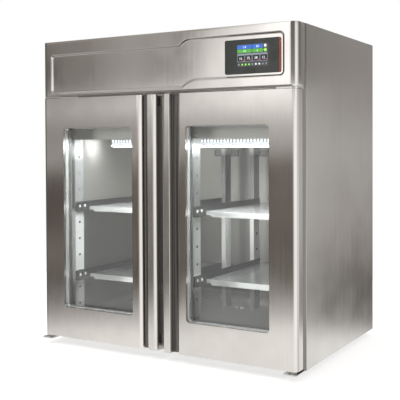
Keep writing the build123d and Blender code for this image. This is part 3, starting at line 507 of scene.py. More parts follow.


# Painted shade: the shares of its colour that a steel keeps at places along an axis, where its neighbours would
# shade it. The rails and posts are darker below 0.3 m and from 0.7 m up, the chamber's steel low down, the shelves
# behind their front edge, the side panels at their front fold and the grips towards the floor of their groove.
RAIL_SHADE = ("Z", ((0.28, 0.4), (0.33, 1.0), (0.67, 1.0), (0.7, 0.22), (0.95, 0.24), (1.0, 0.9)))
POST_SHADE = ("Z", ((0.28, 0.3), (0.32, 1.0), (0.67, 1.0), (0.7, 0.22), (0.97, 0.22), (1.01, 0.8)))
LINER_SHADE = ("Z", ((0.116, 1.0), (0.15, 0.4), (0.26, 0.37), (0.34, 0.85), (0.7, 1.0)))
SHELF_SHADE = ("Y", ((-0.2195, 1.0), (-0.212, 0.3)))
SIDE_SHADE = ("Y", ((-0.397, 0.3), (-0.385, 1.0)))
GRIP_SHADE = ("Y", ((-0.475, 1.0), (-0.459, 0.22)))

FINISHES = {
    finish.name: finish
    for finish in (
        Steel("brushed_upright", WARM, 0.13),
        Steel("brushed_side", (0.64, 0.63, 0.615), 0.17, lines=0.55, wave=0.0001, bands=SIDE_SHADE),
        Steel("brushed_header", WARM, 0.12, wave=0.0006),
        Steel("grip_steel", WARM, 0.13, wave=0.0002, metal=0.85, bands=GRIP_SHADE, beyond=0.03),
        Steel("rail_steel", (0.92, 0.92, 0.9), 0.3, Grain.LEVEL, 0.3, wave=0.0, metal=0.4, bands=RAIL_SHADE),
        Steel("post_steel", (0.88, 0.88, 0.86), 0.3, Grain.LEVEL, 0.3, wave=0.0, metal=0.7, bands=POST_SHADE),
        Steel("mullion_steel", (0.6, 0.585, 0.57), 0.25, metal=0.6),
        Steel("spacer_steel", (0.07, 0.07, 0.072), 0.3, lines=0.3, wave=0.0, metal=0.4),
        Steel("bead_steel", (0.66, 0.66, 0.655), 0.2, lines=0.25, wave=0.0, metal=0.75),
        Steel("polished_steel", (0.72, 0.705, 0.69), 0.2, lines=0.25, wave=0.0001),
        Steel("bright_steel", (0.72, 0.72, 0.715), 0.22, Grain.NONE, lines=0.3, wave=0.0),
        Steel("liner_steel", (0.43, 0.415, 0.385), 0.33, Grain.LEVEL, 0.3, 0.6, 0.0, metal=0.85, bands=LINER_SHADE),
        Steel("shelf_steel", (0.96, 0.96, 0.94), 0.22, Grain.ACROSS, 0.3, 0.3, 0.0, metal=0.45, bands=SHELF_SHADE),
        Steel("slide_screw", (0.95, 0.95, 0.94), 0.3, Grain.NONE, lines=0.3, wave=0.0, metal=0.3),
        Steel("slide_steel", (0.1, 0.1, 0.1), 0.35, Grain.DEEP, lines=0.6),
        Steel("zinc_steel", (0.58, 0.6, 0.61), 0.42, Grain.NONE, lines=0.7),
        Steel("lamp_aluminium", (0.8, 0.8, 0.8), 0.3, Grain.ACROSS, lines=0.3, wave=0.0),
        Fins(),
        Copper(),
        Glass(),
        Foam(),
        Plastic("screen_glass", (0.012, 0.02, 0.02), 0.12, grain_scale=300.0, depth=0.00001, coat=0.6),
        Plastic("black_gloss", (0.012, 0.017, 0.013), 0.14, grain_scale=300.0, depth=0.00002),
        Plastic("black_paint", (0.025, 0.025, 0.027), 0.3, grain_scale=260.0, depth=0.0001, coat=0.3),
        Plastic("lamp_shade", (0.3, 0.31, 0.32), 0.4),
        Plastic("panel_stripe", (0.62, 0.09, 0.03), 0.35),
        Plastic("black_plastic", (0.04, 0.04, 0.04), 0.5),
        Plastic("grey_plastic", (0.4, 0.4, 0.4), 0.5),
        Plastic("fan_plastic", (0.06, 0.06, 0.065), 0.45),
        Plastic("bush_plastic", (0.85, 0.85, 0.82), 0.4),
        Plastic("spacer_black", (0.03, 0.03, 0.03), 0.4),
        Plastic("gasket_rubber", (0.13, 0.13, 0.135), 0.6),
        Glow("lamp_lens", (0.55, 0.58, 0.62), 0.4, ripples=144.4),
        Glow("lamp_dome", (0.95, 0.98, 1.0), 1.0),
        Glow("screen_blue", (0.045, 0.16, 0.6), 0.4),
        Glow("screen_green", (0.1, 0.4, 0.06), 0.45),
        Glow("screen_lime", (0.3, 0.75, 0.1), 0.6),
        Glow("screen_pale", (0.8, 0.85, 0.9), 0.6),
        Glow("screen_grey", (0.3, 0.33, 0.38), 0.25),
        Glow("screen_wells", (0.02, 0.025, 0.035), 0.2),
        Glow("screen_red", (0.75, 0.04, 0.03), 0.6),
        PaleFloor(),
    )
}

STEEL_BY_NODE = {
    "left_side_panel": "brushed_side",
    "right_side_panel": "brushed_side",
    "left_door_handle": "grip_steel",
    "right_door_handle": "grip_steel",
    "left_glazing_bead": "bead_steel",
    "right_glazing_bead": "bead_steel",
    "left_glass_spacer": "spacer_steel",
    "right_glass_spacer": "spacer_steel",
    "wall_rails": "rail_steel",
    "centre_mullion": "mullion_steel",
    "centre_posts": "post_steel",
}


@dataclass
class Form:
    """A shape as arrays: its points, and its faces in groups with the same number of corners."""

    points: Array
    faces: list[Array]

    def __add__(self, other: "Form") -> "Form":
        """The two shapes as one."""
        moved = [group + len(self.points) for group in other.faces]
        return Form(np.concatenate([self.points, other.points]), [*self.faces, *moved])

    def at(self, places: Array) -> "Form":
        """The shape repeated, with its points moved by each place in turn.

        Args:
            places: one place, or a row for each.

        Returns:
            The repeated shape.
        """
        places = np.atleast_2d(np.asarray(places, float))
        points = (self.points[None] + places[:, None]).reshape(-1, 3)
        steps = len(self.points) * np.arange(len(places))[:, None, None]
        return Form(points, [(group[None] + steps).reshape(-1, group.shape[1]) for group in self.faces])

    def turned(self, axes: Array) -> "Form":
        """The shape with its X, Y and Z laid along the three rows of axes."""
        return Form(self.points @ axes, self.faces)


def joined(forms: list[Form]) -> Form:
    """All the forms as one."""
    return reduce(operator.add, forms)


def grid(points: Array, round_rows: bool = False, round_columns: bool = False) -> Form:
    """A surface from a grid of points: each face joins four neighbours.

    Args:
        points: an array of rows by columns by 3.
        round_rows: whether the last row meets the first.
        round_columns: whether the last column meets the first.

    Returns:
        The surface.
    """
    rows, columns = points.shape[:2]
    down = np.arange(rows if round_rows else rows - 1)
    over = np.arange(columns if round_columns else columns - 1)
    i, j = (a.ravel() for a in np.meshgrid(down, over, indexing="ij"))
    below, beside = (i + 1) % rows, (j + 1) % columns
    corners = [i * columns + j, i * columns + beside, below * columns + beside, below * columns + j]
    return Form(points.reshape(-1, 3), [np.stack(corners, axis=1)])


def circle(count: int) -> Array:
    """Points round a circle of radius 1, as rows of cos a and sin a."""
    angle = np.linspace(0, math.tau, count, endpoint=False)
    return np.stack([np.cos(angle), np.sin(angle)], axis=1)


def quarter(count: int) -> Array:
    """Points along a quarter of a circle of radius 1, from (1, 0) to (0, 1)."""
    angle = np.linspace(0, math.pi / 2, count)
    return np.stack([np.cos(angle), np.sin(angle)], axis=1)


def lathe(profile: Array, turns: int) -> Form:
    """A shape turned round Z.

    Each point of the profile, a radius r and a height z, goes round to (r cos a, r sin a, z).

    Args:
        profile: rows of radius and height, from the bottom to the top.
        turns: how many faces go round.

    Returns:
        The shape. Where the radius is 0 its points meet in a pole.
    """
    profile = np.asarray(profile, float)
    radius, height = profile[:, :1], profile[:, 1:]
    x, y = circle(turns).T
    return grid(np.stack([radius * x, radius * y, np.repeat(height, turns, axis=1)], axis=2), round_columns=True)


def plate(outline: Array, near: float, far: float) -> Form:
    """A flat plate that faces the front: an outline in X and Z carried along Y, with both ends shut.

    Args:
        outline: rows of X and Z, in order.
        near: the Y of its front.
        far: the Y of its back.

    Returns:
        The closed plate.
    """
    outline = np.asarray(outline, float)
    count = len(outline)
    wall = grid(np.stack([np.insert(outline, 1, y, axis=1) for y in (near, far)]), round_columns=True)
    ends = np.stack([np.arange(count)[::-1], np.arange(count, 2 * count)])
    return Form(wall.points, [*wall.faces, ends])


def rounded(corners: Array, radii: Array | float, steps: int = 6) -> Array:
    """A closed outline with round corners.

    A corner of half angle h takes an arc of radius r that starts r / tan h before it and ends as far past it. The
    arc's points are the centre plus the arm to its start, turned in even steps.

    Args:
        corners: the outline's corners, in order.
        radii: one radius, or one for each corner. A radius of 0 keeps the corner.
        steps: how many points each arc has.

    Returns:
        The outline's points.
    """
    corners = np.asarray(corners, float)
    radii = np.broadcast_to(radii, len(corners))[:, None]
    into = corners - np.roll(corners, 1, axis=0)
    onward = np.roll(corners, -1, axis=0) - corners
    into /= np.linalg.norm(into, axis=1, keepdims=True)
    onward /= np.linalg.norm(onward, axis=1, keepdims=True)
    bend = np.arctan2(into[:, 0] * onward[:, 1] - into[:, 1] * onward[:, 0], (into * onward).sum(axis=1))[:, None]
    start = corners - radii * np.abs(np.tan(bend / 2)) * into
    centre = start + radii * np.sign(bend) * np.stack([-into[:, 1], into[:, 0]], axis=1)
    turn = (bend * np.linspace(0, 1, steps))[..., None]
    arm = (start - centre)[:, None]
    across = np.stack([-arm[..., 1], arm[..., 0]], axis=-1)
    points = (centre[:, None] + np.cos(turn) * arm + np.sin(turn) * across).reshape(-1, 2)
    return points[np.linalg.norm(points - np.roll(points, 1, axis=0), axis=1) > SAME_POINT / 10]


def box_outline(x0: float, x1: float, z0: float, z1: float, radius: float, steps: int) -> Array:
    """The outline of a rectangle with round corners."""
    return rounded(np.array([(x0, z0), (x1, z0), (x1, z1), (x0, z1)]), radius, steps)


def inside_distance(points: Array, outline: Array) -> Array:
    """How far each point lies inside a closed outline, and below 0 outside it.

    The distance to one edge is that to its nearest point, the foot of the perpendicular held between its ends. A
    point is inside where a level line to its right crosses the outline an odd number of times.

    Args:
        points: rows of two numbers.
        outline: the outline's corners, in order.

    Returns:
        One distance for each point.
    """
    start, end = outline, np.roll(outline, -1, axis=0)
    edge = end - start
    arm = points[:, None] - start[None]
    share = np.clip((arm * edge).sum(axis=2) / (edge * edge).sum(axis=1), 0.0, 1.0)
    nearest = np.linalg.norm(arm - share[..., None] * edge, axis=2).min(axis=1)
    above = start[:, 1] > points[:, None, 1]
    crossing = above != (end[:, 1] > points[:, None, 1])
    with np.errstate(divide="ignore", invalid="ignore"):
        at = start[:, 0] + (points[:, None, 1] - start[:, 1]) * edge[:, 0] / edge[:, 1]
    odd = (crossing & (points[:, None, 0] < at)).sum(axis=1) % 2 == 1
    return np.where(odd, nearest, -nearest)


def spaced(low: float, high: float, keen: list[Pair], fine: float, coarse: float) -> Array:
    """Places between two ends, close together inside the keen spans and wider apart elsewhere.

    One over the wanted gap is summed along dense samples, and the running sum is inverted at even shares.

    Args:
        low: the lower end, which is left out.
        high: the upper end, which is left out.
        keen: the spans that need detail.
        fine: the gap inside them.
        coarse: the gap elsewhere.

    Returns:
        The places in rising order.
    """
    sample = np.linspace(low, high, 4001)
    near = np.any([(sample > start) & (sample < end) for start, end in keen], axis=0)
    run = np.cumsum(np.where(near, 1 / fine, 1 / coarse))
    count = int((run[-1] - run[0]) * (sample[1] - sample[0])) + 2
    return np.interp(np.linspace(run[0], run[-1], count), run, sample)[1:-1]


def ease(share: Array) -> Array:
    """A smooth step from 0 to 1 as the share goes from 0 to 1, held at both ends."""
    share = np.clip(share, 0.0, 1.0)
    return share * share * share * (share * (share * 6 - 15) + 10)


def screw_head(radius: float, height: float) -> Form:
    """A domed screw head that stands on Z = 0, with a six-sided socket.

    The dome's radius falls as a quarter ellipse. The socket's wall is at the six-sided polar radius
    cos 30 / cos(a modulo 60 - 30), and its floor is four tenths of the way up the head.

    Args:
        radius: the head's radius.
        height: the head's height.

    Returns:
        The head, sunk a little into the sheet.
    """
    turns, sunk, socket_share, rim_share, floor_share = 24, 0.0003, 0.42, 0.97, 0.4
    dome = quarter(6)[:-1] * (radius, height)
    dome = np.vstack([[radius, -sunk], dome])
    angles = np.linspace(0, math.tau, turns, endpoint=False)
    six = math.cos(math.pi / 6) / np.cos(angles % (math.pi / 3) - math.pi / 6)
    socket = socket_share * radius * six
    radii = np.concatenate([np.repeat(dome[:, :1], turns, axis=1), [socket, socket, 0 * socket]])
    levels = np.concatenate([dome[:, 1], height * np.array([rim_share, floor_share, floor_share])])
    x, y = circle(turns).T
    return grid(np.stack([radii * x, radii * y, np.repeat(levels[:, None], turns, 1)], axis=2), round_columns=True)


def numerals(text: str, size: float, thin: float = 0.0002) -> Form:
    """A number's figures as thin flat shapes that stand in X and Z, facing the front.

    Args:
        text: the number.
        size: the height of a line of text.
        thin: half of the figures' thickness.

    Returns:
        The figures, centred on the origin.
    """
    curve = bpy.data.curves.new("numerals", "FONT")
    curve.body, curve.size, curve.extrude, curve.resolution_u = text, size, thin, 2
    holder = bpy.data.objects.new("numerals", curve)
    mesh = bpy.data.meshes.new_from_object(holder)
    points = np.zeros(len(mesh.vertices) * 3)
    mesh.vertices.foreach_get("co", points)
    points = points.reshape(-1, 3)
    points -= (points.max(axis=0) + points.min(axis=0)) / 2
    faces = [np.array([face.vertices[:]]) for face in mesh.polygons]
    bpy.data.objects.remove(holder)
    bpy.data.curves.remove(curve)
    bpy.data.meshes.remove(mesh)
    return Form(points, faces).turned(FACING_FRONT)


@cache
def material_of(finish: str) -> Material:
    """The material of the finish of that name, made on its first use."""
    return FINISHES[finish].make()


def add_piece(
    name: str, form: Form, finish: str, body: Body = Body.CABINET, sharp: float = 35.0
) -> Piece:
    """Turns a form into a finished piece that rides on a body.

    Args:
        name: the piece's name.
        form: its shape, in place.
        finish: the name of its finish.
        body: the body that it moves with.
        sharp: the bend, in degrees, above which an edge stays sharp.

    Returns:
        The new object, at the origin with its place in its mesh.
    """
    mesh = bpy.data.meshes.new(name)
    mesh.from_pydata(form.points.tolist(), [], [face for group in form.faces for face in group.tolist()])
    shape = bmesh.new()
    shape.from_mesh(mesh)
    bmesh.ops.remove_doubles(shape, verts=shape.verts, dist=SAME_POINT)
    bmesh.ops.recalc_face_normals(shape, faces=shape.faces)
    shape.to_mesh(mesh)
    shape.free()
    mesh.shade_smooth()
    mesh.set_sharp_from_angle(angle=math.radians(sharp))
    mesh.materials.append(material_of(finish))
    piece = bpy.data.objects.new(name, mesh)
    bpy.context.scene.collection.objects.link(piece)
    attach(piece, body.value)
    LOG.info("piece %s: %d faces, %s, on %s", name, len(mesh.polygons), finish, body.value)
    return piece


def thicken(piece: Piece, thickness: float, offset: float) -> None:
    """Gives a sheet its wall."""
    wall = piece.modifiers.new("wall", "SOLIDIFY")
    wall.thickness, wall.offset = thickness, offset


def dress_nodes() -> None:
    """Gives every node of the model the finish of its record's slot, or the steel that is its own."""
    slots = {part["node"]: part["material_slot"] for part in frame["record"]["subparts"]}
    for name, node in frame["nodes"].items():
        slot = slots[name]
        finish = STEEL_BY_NODE.get(name, "brushed_upright" if slot == "brushed_steel" else slot)
        node.data.materials.clear()
        node.data.materials.append(material_of(finish))
        LOG.info("node %s: %s", name, finish)


@dataclass
class Header:
    """The header's front: one sheet folded round at both ends, with a pressed panel that steps up in a swoosh."""

    corner_radius: float = 0.031
    edge_radius: float = 0.0025
    gauge: float = 0.0015
    lip: float = 0.012
    depth: float = 0.008
    slope: float = 0.0105
    slope_start: float = 0.002
    left: float = -0.67
    right: float = 0.667
    bottom: Pair = (1.302, 1.336)
    top: Pair = (1.501, 1.53)
    top_step: Pair = (0.121, 0.184)
    bottom_step: Pair = (0.139, 0.227)
    end_radii: Pair = (0.015, 0.022)
    step_radius: float = 0.007
    fine: float = 0.0019
    coarse: float = 0.01
    outer_margin: float = 0.004
    inner_margins: Pair = (0.03, 0.037)
    step_margin: float = 0.014

    def swoosh(self, step: Pair, low: float, high: float) -> Array:
        """The arc of a step in the outline.

        It is level at the high end. With run r and rise h its radius is (r r + h h) / 2 h, and its points are the
        centre plus the radius times (-sin a, cos a) as the angle a grows evenly from 0.

        Args:
            step: the X of the low and of the high end.
            low: the Z of the low end.
            high: the Z of the high end.

        Returns:
            Rows of X and Z, from the high end back down to the low end.
        """
        run, climb = step[1] - step[0], high - low
        radius = (run * run + climb * climb) / (2 * climb)
        angle = np.linspace(0, math.asin(run / radius), 14)
        return np.stack([step[1] - radius * np.sin(angle), high - radius + radius * np.cos(angle)], axis=1)

    def outline(self) -> Array:
        """The pressed panel's edge.

        Returns:
            Rows of X and Z, anticlockwise from the lower left corner.
        """
        under = self.swoosh(self.bottom_step, *self.bottom)[::-1]
        over = self.swoosh(self.top_step, *self.top)
        right = [(self.right, self.bottom[1]), (self.right, self.top[1])]
        corners = np.vstack([[(self.left, self.bottom[0])], under, right, over, [(self.left, self.top[0])]])
        radii = np.zeros(len(corners))
        radii[[0, -1]] = self.end_radii[0]
        radii[len(under) + 1 : len(under) + 3] = self.end_radii[1]
        radii[[1, -2]] = self.step_radius
        return rounded(corners, radii)

    def plan(self, low: Vector, high: Vector) -> tuple[Array, Array]:
        """The sheet's line as seen from above: up one return, round a quarter circle, over the front and back.

        The quarter circle is its centre less the radius times (cos a, sin a), and the right end mirrors the left.

        Args:
            low: the fascia's low corner.
            high: the fascia's high corner.

        Returns:
            The line's points, and the direction that the sheet faces at each.
        """
        radius, turn = self.corner_radius, quarter(13)
        small, large = self.inner_margins
        keen = [(self.left - self.outer_margin, self.left + small)]
        keen += [(self.right - large, self.right + self.outer_margin)]
        keen += [(self.top_step[0] - self.step_margin, self.bottom_step[1] + self.step_margin)]
        flat = spaced(low.x + radius, high.x - radius, keen, self.fine, self.coarse)
        back = np.linspace(high.y, low.y + radius, 4)[:-1]
        corner = (low.x + radius, low.y + radius) - radius * turn
        left = np.vstack([np.insert(back[:, None], 0, low.x, axis=1), corner])
        points = np.vstack([left, np.insert(flat[:, None], 1, low.y, axis=1), left[::-1] * (-1, 1)])
        facing = np.vstack([np.tile((-1.0, 0.0), (len(back), 1)), -turn])
        return points, np.vstack([facing, np.tile((0.0, -1.0), (len(flat), 1)), facing[::-1] * (-1, 1)])

    def front(self) -> Form:
        """The front sheet as a grid that goes round the plan and up.

        Going up, it turns in at both edges on a small quarter circle. On the front, a point at distance d inside
        the outline is set back by the depth times a smooth step of d over the slope.

        Returns:
            The sheet's outer face.
        """
        low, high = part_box("header_fascia")
        plan, facing = self.plan(low, high)
        edge, turn = self.edge_radius, self.edge_radius * quarter(5)
        small, large = self.inner_margins
        rims = [(self.bottom[0] - self.outer_margin, self.bottom[1] + large)]
        rims += [(self.top[0] - small, self.top[1] + self.outer_margin)]
        upright = spaced(low.z + edge, high.z - edge, rims, self.fine, self.coarse)
        bottom, top = low.z + edge - turn[:, 0], high.z - edge + turn[:, 1]
        levels = np.concatenate([[low.z], bottom, upright, top, [high.z]])
        inset = np.concatenate([[self.lip], edge - turn[:, 1], 0 * upright, edge - turn[:, 0], [self.lip]])
        points = np.zeros((len(levels), len(plan), 3))
        points[..., :2] = plan[None] - inset[:, None, None] * facing[None]
        points[..., 2] = levels[:, None]
        inside = inside_distance(points[..., [0, 2]].reshape(-1, 2), self.outline()).reshape(points.shape[:2])
        points[..., 1] += self.depth * ease((inside + self.slope_start) / self.slope)
        return grid(points)

    def flange(self, level: float) -> Form:
        """The flat top or bottom of the header, inside the edge's bend.

        Args:
            level: the Z of its underside.

        Returns:
            The closed plate.
        """
        low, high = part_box("header_fascia")
        edge, radius = self.edge_radius, self.corner_radius - self.edge_radius
        x0, x1, y0, y1 = low.x + edge, high.x - edge, low.y + edge, high.y
        outline = rounded(np.array([(x0, y1), (x0, y0), (x1, y0), (x1, y1)]), np.array([0.0, radius, radius, 0.0]))
        return plate(outline, 0.0, self.gauge).turned(LYING).at([0, 0, level])

    def build(self) -> None:
        """Builds the front sheet and its flanges in place of the model's fascia."""
        low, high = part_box("header_fascia")
        flanges = self.flange(low.z) + self.flange(high.z - self.gauge)
        front = add_piece("header_front", self.front(), "brushed_header")
        lids = add_piece("header_flanges", flanges, "brushed_header")
        thicken(front, self.gauge, -1.0)
        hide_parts("header_fascia")
        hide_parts("header_fascia")


@dataclass
class Screen:
    """The control panel's face: the lit fields, dials and marks on the display and the stripe at its end.

    Places on the display are shares of its width and of its height from the top. Each layer stands a lift in front
    of the one behind it.
    """

    lift: float = 0.0004
    sunk: float = 0.0002
    stripe: float = 0.0045
    panel_radius: float = 0.008
    bars: tuple[Pair, ...] = ((0.016, 0.476), (0.5, 0.83))
    blue: Pair = (0.035, 0.21)
    green: Pair = (0.225, 0.385)
    dials: tuple[str, ...] = ("16", "75", "28", "12")
    dial_first: float = 0.016
    dial_pitch: float = 0.2435
    dial_width: float = 0.232
    dial_rows: Pair = (0.42, 0.775)
    well_rows: Pair = (0.5, 0.755)
    well_margin: float = 0.012
    reading_row: float = 0.63
    reading_size: float = 0.016
    needle_rows: Pair = (0.68, 0.735)
    needle_margins: Pair = (0.055, 0.03)
    needle_radius: float = 0.0004
    icon_first: float = 0.065
    icon_pitch: float = 0.1095
    icon_level: float = 0.905
    icons: tuple[tuple[str, float], ...] = (
        ("grey", 0.0042), ("lime", 0.0042), ("lime", 0.0042), ("lime", 0.0042), ("grey", 0.0038),
        ("pale", 0.004), ("pale", 0.004), ("grey", 0.0038), ("grey", 0.0038),
    )
    numbers: tuple[tuple[str, float, float, float], ...] = (
        ("1.8", 0.25, 0.125, 0.014), ("80", 0.665, 0.125, 0.014),
        ("24", 0.25, 0.305, 0.012), ("6", 0.665, 0.305, 0.012),
    )
    round_mark: tuple[float, float, float] = (0.91, 0.3, 0.0075)
    corner_field: tuple[float, float, float, float] = (0.875, 0.945, 0.05, 0.165)

    def place(self, u: float, v: float) -> Array:
        """The X and Z of a point of the display."""
        low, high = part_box("touch_display")
        return np.array([low.x + u * (high.x - low.x), high.z - v * (high.z - low.z)])

    def flat(self, outline: Array, layer: int) -> Form:
        """An outline as a thin plate on a layer of the display."""
        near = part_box("touch_display")[0].y
        return plate(outline, near - layer * self.lift, near + self.sunk)

    def field(self, u0: float, u1: float, v0: float, v1: float, layer: int = 1, radius: float = 0.0015) -> Form:
        """A flat field on the display between two corners."""
        (x0, z0), (x1, z1) = self.place(u0, v1), self.place(u1, v0)
        return self.flat(box_outline(x0, x1, z0, z1, radius, 4), layer)

    def disc(self, u: float, v: float, radius: float) -> Form:
        """A round mark on the display."""
        return self.flat(self.place(u, v) + radius * circle(20), 1)

    def number(self, text: str, u: float, v: float, size: float, layer: int) -> Form:
        """A number on a layer of the display."""
        (x, z), near = self.place(u, v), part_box("touch_display")[0].y
        return numerals(text, size).at([x, near - layer * self.lift, z])

    def end_stripe(self) -> Form:
        """The stripe along the panel's right end, between its round edge and the same edge drawn in.

        At the angle a round each corner the edge is drawn in by the stripe's width times the root of cos a.

        Returns:
            The closed stripe.
        """
        low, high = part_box("control_panel")
        radius = self.panel_radius
        turn = np.linspace(-math.pi / 2, math.pi / 2, 24)
        centre = np.where(turn < 0, low.z + radius, high.z - radius)
        outer = np.stack([high.x - radius + radius * np.cos(turn), centre + radius * np.sin(turn)], axis=1)
        inner = outer - self.stripe * np.stack([np.cos(turn) ** 0.5, 0 * turn], axis=1)
        return plate(np.vstack([outer, inner[1:-1][::-1]]), low.y - self.lift, low.y + self.sunk)

    def build(self) -> None:
        """Builds the lit shapes, one piece for each colour, and the stripe."""
        shapes = {colour: [] for colour in ("blue", "green", "lime", "pale", "grey", "wells", "red")}
        for bar in self.bars:
            shapes["blue"].append(self.field(*bar, *self.blue))
            shapes["green"].append(self.field(*bar, *self.green))
        shapes["lime"].append(self.disc(*self.round_mark))
        shapes["pale"].append(self.field(*self.corner_field))
        for n, (colour, radius) in enumerate(self.icons):
            shapes[colour].append(self.disc(self.icon_first + n * self.icon_pitch, self.icon_level, radius))
        for text, u, v, size in self.numbers:
            shapes["pale"].append(self.number(text, u, v, size, layer=2))
        for n, text in enumerate(self.dials):
            start = self.dial_first + n * self.dial_pitch
            end = start + self.dial_width
            well = (start + self.well_margin, end - self.well_margin, *self.well_rows)
            needle = (*(end - margin for margin in self.needle_margins), *self.needle_rows)
            shapes["grey"].append(self.field(start, end, *self.dial_rows))
            shapes["wells"].append(self.field(*well, layer=2))
            shapes["pale"].append(self.number(text, (start + end) / 2, self.reading_row, self.reading_size, layer=3))
            shapes["red"].append(self.field(*needle, layer=3, radius=self.needle_radius))
        for colour, forms in shapes.items():
            add_piece(f"screen_{colour}", joined(forms), f"screen_{colour}")
        add_piece("panel_stripe", self.end_stripe(), "panel_stripe")


@dataclass
class Lamp:
    """The lamp bar's fine parts: a row of lit domes on the lens and a scalloped shade along its top."""

    pitch: float = 0.0188
    dome_radius: float = 0.0058
    dome_rise: float = 0.3
    dome_drop: float = 0.0012
    shade_depth: float = 0.015
    shallow: float = 0.55
    shade_points: int = 8
    shade_gap: float = 0.0002
    sheet: float = 0.0006

    def domes(self) -> Form:
        """The lit domes, which stand out of the lens: radius cos a, height three tenths of sin a.

        Returns:
            The row of domes.
        """
        low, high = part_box("led_lenses")
        dome = lathe(self.dome_radius * quarter(5) * (1, self.dome_rise), 12)
        count = int((high.x - low.x) / self.pitch)
        across = low.x + self.pitch / 2 + self.pitch * np.arange(count)
        level = high.z - self.dome_radius - self.dome_drop
        places = np.stack([across, np.full(count, low.y - self.sheet), np.full(count, level)], axis=1)
        return dome.turned(FACING_FRONT).at(places)

    def scallops(self) -> Form:
        """The shade's face, a grid from its level top to a lower edge that dips by |cos| between the domes.

        The dip is the depth times the shallow share s plus (1 - s) |cos|.

        Returns:
            The face.
        """
        low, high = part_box("led_lenses")
        count = int((high.x - low.x) / self.pitch) * self.shade_points
        across = np.linspace(low.x, high.x, count)
        wave = np.abs(np.cos(math.pi * (across - low.x) / self.pitch))
        dip = self.shade_depth * (self.shallow + (1 - self.shallow) * wave)
        levels = np.stack([np.full(count, high.z), high.z - dip / 2, high.z - dip])
        return grid(np.stack([np.tile(across, (3, 1)), np.full((3, count), low.y - self.shade_gap), levels], axis=2))

    def build(self) -> None:
        """Builds the domes and the shade."""
        add_piece("lamp_domes", self.domes(), "lamp_dome")
        thicken(add_piece("lamp_shade", self.scallops(), "lamp_shade"), self.sheet, 1.0)


@dataclass
class Racking:
    """Dark plates of painted shade in the holes of the rack uprights, and the heads that hold the slides."""

    size: Pair = (0.014, 0.012)
    corner: float = 0.003
    lip: float = 0.0004
    depth: float = 0.002
    first: float = 0.0795
    last: float = 0.009
    pitch: float = 0.0875
    middle: float = 0.0325
    rail_width: float = 0.023
    end: float = 0.039
    step: float = 0.04
    above: float = 0.0055
    head: tuple[Pair, ...] = ((0, 0), (0.0074, 0), (0.0074, 0.0018), (0.006, 0.003), (0.003, 0.0036), (0, 0.0038))

    def shadow_plates(self, face: float, low: Vector, high: Vector) -> Form:
        """One dark plate of painted shade in each hole of four uprights, for the shade in the hollow behind it: a
        short plate through the face, with a thin lip over it.

        Args:
            face: how far the faces stand from the middle.
            low: the uprights' low corner.
            high: the uprights' high corner.

        Returns:
            The plates, with their lips towards the middle.
        """
        wide, tall = self.size
        outline = box_outline(-wide / 2, wide / 2, -tall / 2, tall / 2, self.corner, 4)
        shadow_plate = plate(outline, -self.lip, self.depth).turned(SIDEWAYS)
        levels = np.arange(low.z + self.first, high.z - self.last, self.pitch)
        depths = (low.y + self.middle, high.y - self.middle)
        sides = [
            shadow_plate.turned(np.diag([side, 1.0, 1.0])).at([(side * face, y, z) for y in depths for z in levels])
            for side in (-1, 1)
        ]
        return joined(sides)

    def screws(self) -> Form:
        """Two round heads in the front end of each slide, in its two holes.

        Returns:
            The heads.
        """
        low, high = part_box("shelf_slides")
        head, post = lathe(self.head, 16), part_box("centre_posts")[1].x
        depths = (low.y + self.end, low.y + self.end + self.step)
        forms = []
        for side, name in ((-1, "left"), (1, "right")):
            levels = [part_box(f"{name}_{level}_shelf")[1].z + self.above for level in ("lower", "upper")]
            for face, inward in ((side * high.x, -side), (side * post, side)):
                turned = head.turned(np.stack([AWAY, inward * UP, inward * RIGHT]))
                forms.append(turned.at([(face, y, z) for y in depths for z in levels]))
        return joined(forms)

    def build(self) -> None:
        """Builds the plates of painted shade in the holes of the wall rails, which face the middle, and of the
        centre posts, which face away.
        """
        wall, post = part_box("wall_rails"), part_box("centre_posts")
        rails = self.shadow_plates(wall[1].x - self.rail_width, *wall)
        posts = self.shadow_plates(post[1].x, *post)
        posts.points[:, 0] = 2 * np.sign(posts.points[:, 0]) * post[1].x - posts.points[:, 0]
        # Black plates that paint the shade in the hollows behind the holes.
        add_piece("rail_shadow_plates", rails, "black_plastic")
        add_piece("post_shadow_plates", posts, "black_plastic")
        add_piece("slide_screws", self.screws(), "slide_screw")


